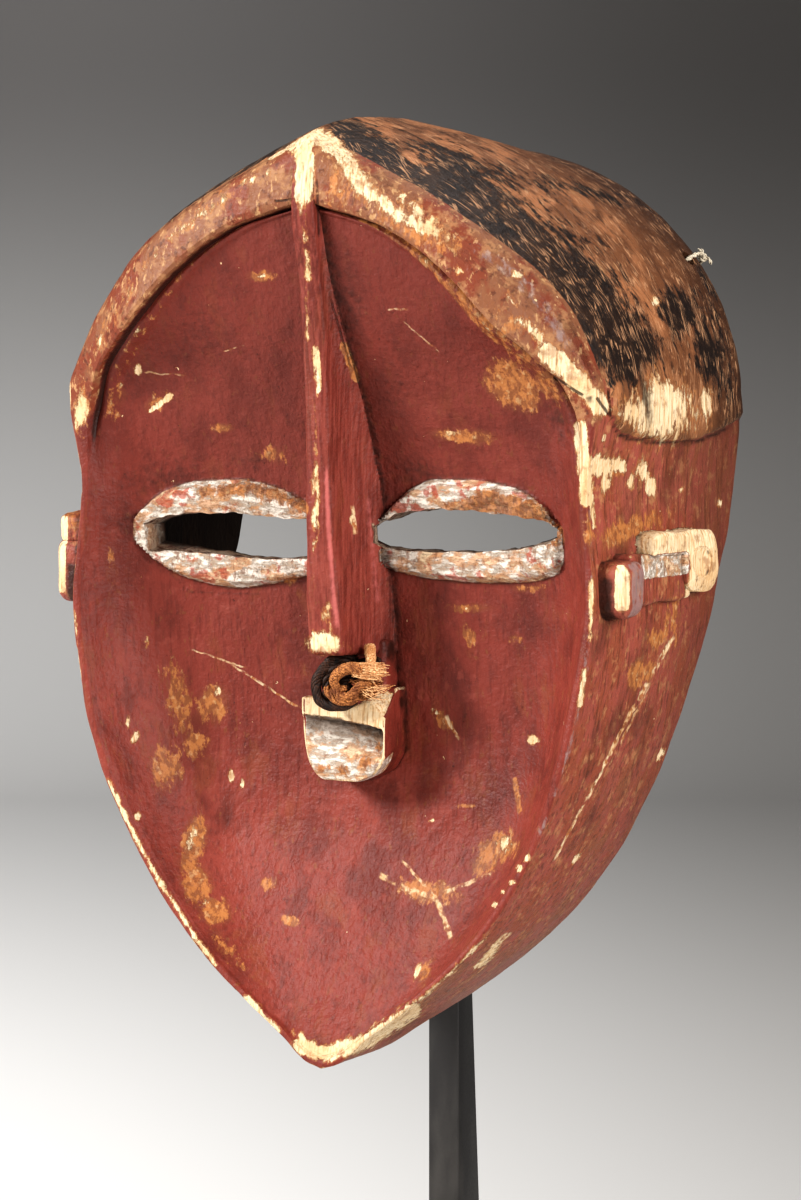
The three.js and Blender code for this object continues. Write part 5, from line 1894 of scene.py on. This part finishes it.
    def worn_wood(
        self, board: NodeBoard, place: Any, marks: dict, colour: Any, get: dict
    ) -> tuple[Any, Any]:
        """Wear a colour down to brown-stained, then to pale wood, on marks and edges."""
        grain = board.grain(place, 0.8, 4, (1, 1, 16))
        wood = self.shares(
            board, self.wood,
            (self.wood_mid, grain, 0.46, 0.6, 0.75),
            (self.wood_dark, grain, 0.58, 0.7, 0.75),
            (self.wood_mid, marks["clouds"], 0.45, 0.62, 0.6),
            (self.wood_dark, marks["flakes"], 0.58, 0.7, 0.5),
            (self.ochre_brown, marks["chips"], 0.55, 0.66, 0.5),
        )
        ochre = self.shares(
            board, self.ochre,
            (self.ochre_brown, marks["flakes"], 0.45, 0.56, 0.85),
            (self.wood_mid, marks["lumps"], 0.56, 0.68, 0.6),
        )
        waver = board.grain(place, 4.5, 6)
        scratch = self.lines(board, SCRATCHES, place, waver, get)
        amount = board.either(get["bare"], board.both(get["edge"], 0.56))
        specks = board.both(board.rise(board.grain(place, 3.0, 3), 0.72, 0.8), 0.75)
        amount = board.either(amount, specks)
        stained = board.either(board.plus(amount, 0.07), get["ochre"])
        stained = board.worn_edge(stained, marks["ragged"], 1.5, 0.07)
        stained = board.either(stained, board.both(scratch, 0.9))
        rubbed = board.rise(marks["smears"], 0.42, 0.56)
        rubbed = board.both(board.rise(get["ochre"], 0.25, 0.6), rubbed)
        colour = board.lay(colour, self.ochre_brown, board.both(rubbed, 0.55))
        colour = board.lay(colour, ochre, board.both(stained, 0.85))
        bare = board.worn_edge(amount, marks["ragged"], 1.25, 0.05)
        fresh = board.both(scratch, board.rise(marks["lumps"], 0.4, 0.56))
        bare = board.either(bare, fresh)
        return board.lay(colour, wood, bare), bare

    def lines(
        self, board: NodeBoard, lines: Sequence[Scratch], place: Any, bend: Any, get: dict
    ) -> Any:
        """Return where thin scratches or cracks lie on the outside."""
        total = None
        for line in lines:
            share = line.share(board, place, bend, self.view)
            total = share if total is None else board.either(total, share)
        outside = board.left_of(get["inside"])
        return board.both(total, outside)

    def shaded_hollow_wood(self, board: NodeBoard, marks: dict) -> Any:
        """Return the colour of the hollow: unpainted wood, dark from handling and darker still as painted
        shade.
        """
        return self.shares(
            board, self.inside,
            (self.wood_dark, marks["clouds"], 0.55, 0.8, 0.25),
            (self.grime, marks["upright"], 0.48, 0.66, 0.7),
            (self.grime, marks["broad"], 0.5, 0.7, 0.5),
        )


@dataclass(frozen=True)
class PlantFibre:
    """Twisted plant fibre, with fine strands along it: dull when new, shiny once greasy."""

    name: str
    light: str
    dark: str
    rough: float = 0.85

    def material(self) -> Material:
        """Make the material."""
        board = NodeBoard(self.name)
        place = board.add("TexCoord", out="Object")
        strands = board.grain(place, 0.5, 4)
        stains = board.grain(place, 3.5, 3)
        share = board.both(board.rise(strands, 0.35, 0.65), board.rise(stains, 0.25, 0.6))
        colour = board.lay(self.dark, self.light, share)
        board.set_surface(Base_Color=colour, Normal=board.relief(strands, 0.15))
        board.surface.inputs["Roughness"].default_value = self.rough
        board.surface.inputs["Specular IOR Level"].default_value = 0.2
        return board.material


@dataclass(frozen=True)
class BlackenedSteel:
    """Mild steel, blackened and waxed: dark, with a soft satin gloss."""

    colour: str = "#363433"
    worn: str = "#4C4946"

    def material(self) -> Material:
        """Make the material."""
        board = NodeBoard("blackened_steel")
        place = board.add("TexCoord", out="Object")
        clouds = board.grain(place, 14, 4, (1, 1, 3))
        grit = board.grain(place, 1.0, 3)
        colour = board.lay(self.colour, self.worn, board.rise(clouds, 0.4, 0.7))
        rough = board.plus(0.38, grit, 0.2)
        board.set_surface(Base_Color=colour, Roughness=rough, Normal=board.relief(grit, 0.03))
        board.surface.inputs["Metallic"].default_value = 0.8
        return board.material


@dataclass(frozen=True)
class GreyFelt:
    """Pressed wool felt: matt and a little fuzzy."""

    colour: str = "#55524E"
    dark: str = "#3E3B38"

    def material(self) -> Material:
        """Make the material."""
        board = NodeBoard("grey_felt")
        place = board.add("TexCoord", out="Object")
        fuzz = board.grain(place, 0.8, 4)
        colour = board.lay(self.dark, self.colour, board.rise(fuzz, 0.35, 0.65))
        board.set_surface(Base_Color=colour, Normal=board.relief(fuzz, 0.3))
        board.surface.inputs["Roughness"].default_value = 0.95
        board.surface.inputs["Sheen Weight"].default_value = 0.4
        return board.material


# The cord, the twine and the stand

TWINE_AT = 0.36  # share of the rear arch, from the temple to the crown
TWINE_HOLE = 2.6  # mm, radius
TWINE_DRILL = 40.0  # mm, length
TWINE_HOLE_FROM_RIM = 6.0  # mm


def twine_place(form: MaskForm) -> tuple[Array, Array]:
    """Find where the twine crosses the rear rim.

    Args:
        form: The mask's form.

    Returns:
        The middle of the wall there, and the direction out through it.
    """
    start, end = form.edge_length(form.temple), form.edge_length(form.border_top)
    z = np.array([float(form.height_at(mix(start, end, TWINE_AT)))])
    outer = form.wall_points(z, np.array([1.0]))[0, 0]
    inner = form.drawn_in(outer)
    way = outer - inner
    return (outer + inner) / 2, way / np.linalg.norm(way)


@dataclass
class Strands:
    """Fibres or strands, each a thin round tube along its own line."""

    name: str
    lines: list[tuple[Array, float]] = field(default_factory=list)

    def twist(
        self, path: Array, radius: float | Array, count: int, pitch: float, start: float = 0.0
    ) -> None:
        """Add strands that wind round a path.

        Args:
            path: Points of the middle line, in millimetres.
            radius: Radius of the whole cord, or one for each point.
            count: Number of strands.
            pitch: Length of one turn.
            start: Angle of the first strand.
        """
        steps = np.linalg.norm(np.diff(path, axis=0), axis=1)
        length = np.concatenate([[0.0], np.cumsum(steps)])
        tangent = np.gradient(path, axis=0)
        tangent /= np.linalg.norm(tangent, axis=1, keepdims=True)
        side = np.cross(tangent, np.array([0.13, 0.97, 0.21]))
        side /= np.linalg.norm(side, axis=1, keepdims=True)
        other = np.cross(tangent, side)
        wide = np.broadcast_to(radius, len(path))
        thin = wide * math.sin(math.pi / count) / (1 + math.sin(math.pi / count))
        for k in range(count):
            angle = start + 2 * math.pi * (k / count + length / pitch)
            ring = side * np.cos(angle)[:, None] + other * np.sin(angle)[:, None]
            self.lines.append((path + ring * (wide - thin)[:, None], thin * 1.08))

    def fray(
        self, roots: Array, ends: Array, count: int, spread: float, thickness: float,
        sag: float = 0.6,
    ) -> None:
        """Add loose fibres that run from points near one line to points near another.

        Args:
            roots: Points of the line that the fibres start at.
            ends: Points of the line that they end at.
            count: Number of fibres.
            spread: How far they stray from both lines, in millimetres.
            thickness: Radius of a fibre.
            sag: How far a fibre bends on its way.
        """
        for k in range(count):
            first = np.array(noise.random_vector()) * spread
            last = np.array(noise.random_vector()) * spread * 1.4
            root = roots[(k * 7) % len(roots)] + first
            end = ends[(k * 7 + k // 3) % len(ends)] + last
            end = root + (end - root) * (0.7 + 0.3 * abs(first[0]) / spread)
            bend = np.array(noise.random_vector()) * sag
            points = [root, mix(root, end, 0.4) + bend, mix(root, end, 0.75) + bend * 0.7, end]
            self.lines.append((smooth_path(points, 9), thickness))

    def build(self) -> Object:
        """Make one mesh of all the tubes."""
        curve = bpy.data.curves.new(self.name, "CURVE")
        curve.dimensions = "3D"
        curve.bevel_depth = 1.0
        curve.bevel_resolution = 2
        curve.use_fill_caps = True
        for points, radius in self.lines:
            spline = curve.splines.new("POLY")
            spline.points.add(len(points) - 1)
            wide = np.broadcast_to(radius, len(points))
            for i, place in enumerate(points):
                end = min(i, len(points) - 1 - i) / 2
                spline.points[i].co = (*place, 1.0)
                spline.points[i].radius = wide[i] * min(1.0, 0.5 + 0.5 * end)
        tube = link_object(self.name + "_line", curve)
        graph = bpy.context.evaluated_depsgraph_get()
        mesh = bpy.data.meshes.new_from_object(tube.evaluated_get(graph))
        bpy.data.objects.remove(tube)
        set_in_place(mesh)
        mesh.shade_smooth()
        return link_object(self.name, mesh)


def smooth_path(points: Iterable[Sequence[float]], count: int) -> Array:
    """Return a smooth line through points.

    Args:
        points: Points that the line passes.
        count: Number of points of the line.

    Returns:
        The line's points.
    """
    given = np.array(list(points), float)
    at = np.concatenate([[0.0], np.cumsum(np.linalg.norm(np.diff(given, axis=0), axis=1))])
    return np.stack(
        [
            Profile(tuple(zip(at, given[:, k])))(np.linspace(0, at[-1], count))
            for k in range(3)
        ],
        -1,
    )


@dataclass
class NoseCord:
    """The knotted cord in the gap between the nose and the mouth."""

    view: PhotoCamera = field(default_factory=PhotoCamera)

    def way(self, count: int, *stops: tuple[float, float, float]) -> Array:
        """Return a smooth line behind pixels of the photograph, each at its own depth."""
        return smooth_path([self.view.at_depth(*stop) for stop in stops], count)

    def dark_loop(self) -> Object:
        """Make the old dark cord that comes down from the nose and loops to the left."""
        strands = Strands("nose_cord_loop")
        loop = self.way(
            64, (350, 655, 19.5), (336, 660, 17.5), (323, 671, 15.0), (316, 686, 13.2), (319, 699, 13.2),
            (331, 706, 14.0), (345, 704, 15.2), (355, 698, 17.0),
        )
        swell = 2.05 + 0.3 * np.sin(np.linspace(0.5, 7.5, 64))
        strands.twist(loop, swell, 2, 15)
        strands.twist(loop, swell * 0.95, 9, 15, 0.4)
        inner = self.way(
            44, (358, 657, 20), (345, 659, 18), (334, 670, 16), (327, 682, 14.6), (327, 692, 14.4),
            (335, 699, 14.8),
        )
        strands.twist(inner, 1.75, 3, 12, 1.0)
        behind = self.way(30, (338, 654, 21), (352, 662, 19.5), (368, 664, 19), (380, 660, 19.5))
        strands.twist(behind, 1.9, 3, 12, 2.0)
        under = self.way(30, (352, 692, 16.2), (344, 684, 15.6), (352, 678, 16.4), (366, 682, 17.5))
        strands.twist(under, 1.9, 4, 12)
        return strands.build()

    def worn_strands(self) -> Object:
        """Make the rust-brown strands in the middle of the knot and the matted fibres beside it."""
        strands = Strands("nose_cord_worn_strands")
        first = self.way(
            36, (327, 687, 14.0), (331, 695, 12.8), (340, 701, 12.8), (350, 701, 13.6), (359, 694, 15.4),
        )
        strands.twist(first, 1.55, 5, 13)
        second = self.way(34, (334, 688, 12.6), (342, 697, 12.2), (352, 695, 12.8), (361, 685, 14.4))
        strands.twist(second, 1.5, 5, 11, 0.7)
        third = self.way(30, (346, 700, 13.4), (355, 691, 13.2), (364, 684, 14.0), (374, 682, 15.2))
        strands.twist(third, 1.5, 6, 15, 0.3)
        lobe = self.way(
            46, (347, 688, 13.8), (338, 689, 12.8), (334, 681, 12.0), (340, 672, 11.6), (351, 668, 11.8),
            (364, 670, 12.8),
        )
        swell = np.interp(np.linspace(0, 1, 46), (0, 0.35, 0.75, 1), (1.0, 1.7, 2.1, 2.3))
        strands.twist(lobe, swell, 3, 12)
        strands.twist(lobe, swell, 8, 15, 0.2)
        roots = self.way(12, (351, 681, 13.6), (356, 690, 14.2), (352, 699, 14.6))
        ends = self.way(14, (384, 678, 15.6), (383, 688, 15.8), (372, 699, 15.6))
        strands.fray(roots, ends, 70, 0.7, 0.17, 1.0)
        return strands.build()

    def pale_end(self) -> Object:
        """Make the pale frayed end of the cord, and its plaited riser to the nose."""
        strands = Strands("nose_cord_frayed_end")
        roots = self.way(16, (347, 664, 10.9), (352, 669, 10.6), (354, 676, 11.6))
        ends = self.way(20, (385, 664, 14.4), (389, 672, 14.2), (382, 681, 14.2))
        strands.fray(roots, ends, 170, 0.6, 0.18, 0.7)
        riser = self.way(30, (371.5, 674, 14.4), (371, 662, 14.8), (369.5, 645, 16.4))
        wide = np.linspace(1.5, 2.05, 30)
        strands.twist(riser, wide, 3, 8.5)
        strands.twist(riser, wide * 0.96, 9, 8.5, 0.5)
        far = self.way(8, (381, 699, 14.4), (394, 699, 14.6), (390, 692, 14.6), (399, 684, 15.0))
        near = self.way(6, (358, 684, 13.0), (362, 694, 13.4), (372, 680, 13.4))
        strands.fray(near, far, 16, 0.6, 0.13, 1.4)
        return strands.build()


@dataclass
class RimTwine:
    """The small loop of pale twine through the hole in the rear rim."""

    form: MaskForm
    ring: float = 7.3
    radius: float = 0.85

    def build(self) -> Object:
        """Make the twisted loop, its knot and two loose ends."""
        middle, along = twine_place(self.form)
        back = np.array([0.0, 1.0, 0.0])
        strands = Strands("rim_twine_loop")
        angle = np.linspace(0, 2 * math.pi, 61)
        path = middle + self.ring * (np.cos(angle)[:, None] * along + np.sin(angle)[:, None] * back)
        strands.twist(path, self.radius, 2, 5)
        knot_at = middle + self.ring * (0.77 * along + 0.64 * back)
        turn = np.linspace(0, 2 * math.pi, 25)
        across = np.cross(along, back)
        for lean in (-0.5, 0.5):
            way = back + lean * along
            knot = knot_at + 1.15 * (np.cos(turn)[:, None] * across + np.sin(turn)[:, None] * way)
            strands.twist(knot, 0.7, 2, 4)
        for k, reach in ((-1, 4.0), (1, 3.2)):
            end = knot_at + across * k * reach + along * 0.6
            strands.twist(smooth_path([knot_at, (knot_at + end) / 2 + along, end], 12), 0.6, 2, 4)
        return strands.build()


@dataclass
class Stand:
    """The steel post and the hook, rest and pad that hold the mask."""

    post_width: float = 11.6
    post_front: float = 91.5
    post_top: float = 158.0
    post_waist: float = 50.0
    waist_depth: float = 8.2
    base_depth: float = 20.0
    plate_top: float = -115.0
    gap: float = 0.3
    rest_height: float = 146.0
    rest_radius: float = 3.0
    pad_radius: float = 8.0
    pad_thickness: float = 4.0
    hook_width: float = 7.0
    form: MaskForm = field(default_factory=MaskForm)

    def plate(
        self, outline: Sequence[tuple[float, float]], width: float, worn: float, name: str
    ) -> Object:
        """Make a plate that is drawn over depth and height and has a width.

        Args:
            outline: Depths and heights of its corners.
            width: Its width.
            worn: How far its edges are rounded.
            name: Name of the piece.

        Returns:
            The piece, in place.
        """
        bm = bmesh.new()
        corners = [bm.verts.new((-width / 2, y, z)) for y, z in outline]
        face = bm.faces.new(corners)
        grown = bmesh.ops.extrude_face_region(bm, geom=[face])
        moved = [g for g in grown["geom"] if isinstance(g, BMVert)]
        bmesh.ops.translate(bm, vec=(width, 0, 0), verts=moved)
        bmesh.ops.recalc_face_normals(bm, faces=bm.faces)
        round_edges(bm, bm.edges[:], worn)
        return placed(mesh_of(bm, name), name)

    def post(self) -> Object:
        """Make the tapered post."""
        front, low = self.post_front, self.plate_top + self.gap
        outline = (
            (front, low), (front + self.base_depth, low), (front + self.waist_depth, self.post_waist),
            (front + self.waist_depth, self.post_top), (front, self.post_top),
        )
        return self.plate(outline, self.post_width, 0.5, "stand_post_bar")

    def hook(self) -> Object:
        """Make the hook that grips the rim of the chin."""
        end = self.post_front - self.gap
        outline = (
            (43.4, 3.5), (61.3, 24), (end, 24), (end, 27), (60.8, 27), (52, 16.6), (38, 16.6),
            (38, 14.6), (50.2, 14.6), (41.9, 5),
        )
        return self.plate(outline, self.hook_width, 0.3, "chin_hook_bar")

    def rod(self, start: float, end: float, radius: float, worn: float, name: str) -> Object:
        """Make a round piece along the depth, with rounded ends."""
        bm = bmesh.new()
        turn = Matrix.Rotation(math.pi / 2, 4, "X")
        place = Matrix.Translation((0, (start + end) / 2, self.rest_height))
        bmesh.ops.create_cone(
            bm, cap_ends=True, segments=48, radius1=radius, radius2=radius, depth=end - start,
            matrix=place @ turn,
        )
        ends = [e for e in bm.edges if abs(e.verts[0].co.y - e.verts[1].co.y) < 1e-4]
        round_edges(bm, ends, worn)
        return placed(mesh_of(bm, name), name)

    def rest(self) -> Object:
        """Make the rod that reaches forward to the pad."""
        start, end = self.pad_face() + self.pad_thickness, self.post_front - self.gap
        return self.rod(start, end, self.rest_radius, 0.3, "face_rest_rod")

    def pad(self) -> Object:
        """Make the felt pad behind the nose."""
        start = self.pad_face()
        return self.rod(start, start + self.pad_thickness - self.gap, self.pad_radius, 0.8, "rest_pad_felt")

    def pad_face(self) -> float:
        """Return the depth of the pad's front."""
        depth = self.form.middle_depth(self.rest_height - self.pad_radius)
        return float(depth) + self.form.face_wall + self.gap


@dataclass(frozen=True)
class Panel:
    """A square light panel: its place and side in metres and its power in watts."""

    name: str
    place: tuple[float, float, float]
    side: float
    watts: float

    def build(self, aim: Vector) -> None:
        """Put the panel in the scene, so that it faces a point."""
        data = bpy.data.lights.new(self.name, "AREA")
        data.shape = "SQUARE"
        data.size = self.side
        data.energy = self.watts
        lamp = bpy.data.objects.new(self.name, data)
        turn = (aim - Vector(self.place)).to_track_quat("-Z", "Y").to_matrix().to_4x4()
        lamp.matrix_world = Matrix.Translation(self.place) @ turn
        bpy.context.collection.objects.link(lamp)


@dataclass
class Studio:
    """A pale floor that rises into a graded backdrop, and soft light from large panels."""

    half_width: float = 4.0
    near_end: float = -3.0
    bend_starts: float = 2.0
    bend_radius: float = 1.0
    top: float = 3.0
    floor_colour: str = "#EAE8E5"
    backdrop_colour: str = "#7A7775"
    right_shade: str = "#A8A6A4"
    world_colour: str = "#DADBDE"
    world_strength: float = 0.22
    middle_height: float = 0.27
    shade_heights: tuple[float, float] = (-0.05, 0.62)
    shade_sides: tuple[float, float] = (-0.4, 0.42)
    panels: tuple[Panel, ...] = (
        Panel("key_panel", (-1.35, -1.25, 1.15), 0.5, 62.0),
        Panel("side_panel", (1.7, -0.75, 0.8), 0.8, 44.0),
        Panel("top_panel", (0.2, 0.5, 1.9), 1.0, 12.0),
    )

    def backdrop(self, azimuth: float) -> None:
        """Make the floor and the backdrop behind the object, square to the camera."""
        bm = bmesh.new()
        rail = [bm.verts.new((-self.half_width, y, 0)) for y in (self.near_end, self.bend_starts)]
        bm.edges.new(rail)
        middle = (-self.half_width, self.bend_starts, self.bend_radius)
        bmesh.ops.spin(
            bm, geom=[rail[1]], cent=middle, axis=(1, 0, 0), angle=math.pi / 2, steps=24, space=Matrix(),
        )
        high = max(bm.verts, key=lambda vert: vert.co.z)
        bm.edges.new((high, bm.verts.new((high.co.x, high.co.y, self.top))))
        made = bmesh.ops.extrude_edge_only(bm, edges=bm.edges[:])
        moved = [g for g in made["geom"] if isinstance(g, BMVert)]
        bmesh.ops.translate(bm, vec=(2 * self.half_width, 0, 0), verts=moved)
        turn = Matrix.Rotation(azimuth, 3, "Z")
        bmesh.ops.rotate(bm, cent=(0, 0, 0), matrix=turn, verts=bm.verts)
        bmesh.ops.recalc_face_normals(bm, faces=bm.faces)
        backdrop = link_object("studio_backdrop", mesh_of(bm, "studio_backdrop"))
        shade(backdrop.data, 60)
        board = NodeBoard("graded_backdrop_paper")
        place = board.add("TexCoord", out="Object")
        height = board.add("SeparateXYZ", {"Vector": place}, out=2)
        right = (math.cos(azimuth), math.sin(azimuth), 0.0)
        aside = board.add("VectorMath", {0: place, 1: right}, out=1, operation="DOT_PRODUCT")
        # the paper is darker higher up; towards the right a painted shade is multiplied over it
        higher, painted_shade = board.rise(height, *self.shade_heights), board.rise(aside, *self.shade_sides)
        colour = board.lay(self.floor_colour, self.backdrop_colour, higher)
        colour = board.lay(colour, self.right_shade, painted_shade, "MULTIPLY")
        board.set_surface(Base_Color=colour)
        board.surface.inputs["Roughness"].default_value = 0.9
        backdrop.data.materials.append(board.material)

    def build(self, azimuth: float) -> None:
        """Make the backdrop, the lights and the soft surroundings.

        Args:
            azimuth: How far the camera stands to the right of the face's front, in radians.
        """
        self.backdrop(azimuth)
        for panel in self.panels:
            panel.build(Vector((0.0, 0.0, self.middle_height)))
        world = bpy.data.worlds.new("studio_world")
        world.use_nodes = True
        sky = world.node_tree.nodes["Background"]
        sky.inputs["Color"].default_value = linear(self.world_colour)
        sky.inputs["Strength"].default_value = self.world_strength
        bpy.context.scene.world = world
        bpy.context.scene.view_settings.view_transform = "Standard"
        bpy.context.scene.view_settings.look = "Medium High Contrast"


def main() -> None:
    """Build the scene: load the frame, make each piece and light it."""
    logging.basicConfig(level=logging.INFO, format="%(name)s %(message)s")
    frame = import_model()

    mask = CarvedMask()
    finish_piece(mask.build(), WornPaintedWood(mask.view).material(), "painted_wood", "mask")

    noise.seed_set(FIBRE_SEED)
    cord = NoseCord()
    dark = PlantFibre("greasy_dark_fibre", "#452A1C", "#140B08", 0.55).material()
    rust = PlantFibre("rust_brown_fibre", "#BE7E48", "#5C3018", 0.7).material()
    pale = PlantFibre("pale_plant_fibre", "#E9BE8C", "#A86C3E").material()
    finish_piece(cord.dark_loop(), dark, "plant_fibre", "nose_cord")
    finish_piece(cord.worn_strands(), rust, "plant_fibre")
    finish_piece(cord.pale_end(), pale, "plant_fibre")

    twine = PlantFibre("pale_twine", "#DDD0BA", "#A89A84").material()
    finish_piece(RimTwine(mask.form).build(), twine, "pale_twine", "rim_twine")

    stand, steel = Stand(form=mask.form), BlackenedSteel().material()
    finish_piece(stand.post(), steel, "dark_steel", "stand_post")
    finish_piece(stand.hook(), steel, "dark_steel", "chin_hook")
    finish_piece(stand.rest(), steel, "dark_steel", "face_rest")
    finish_piece(stand.pad(), GreyFelt().material(), "grey_felt", "rest_pad")
    foot = frame["nodes"]["stand_foot"]
    for slot in foot.material_slots:
        slot.material = steel

    Studio().build(math.radians(mask.view.azimuth))
    mask.view.build()


if __name__ == "__main__":
    main()
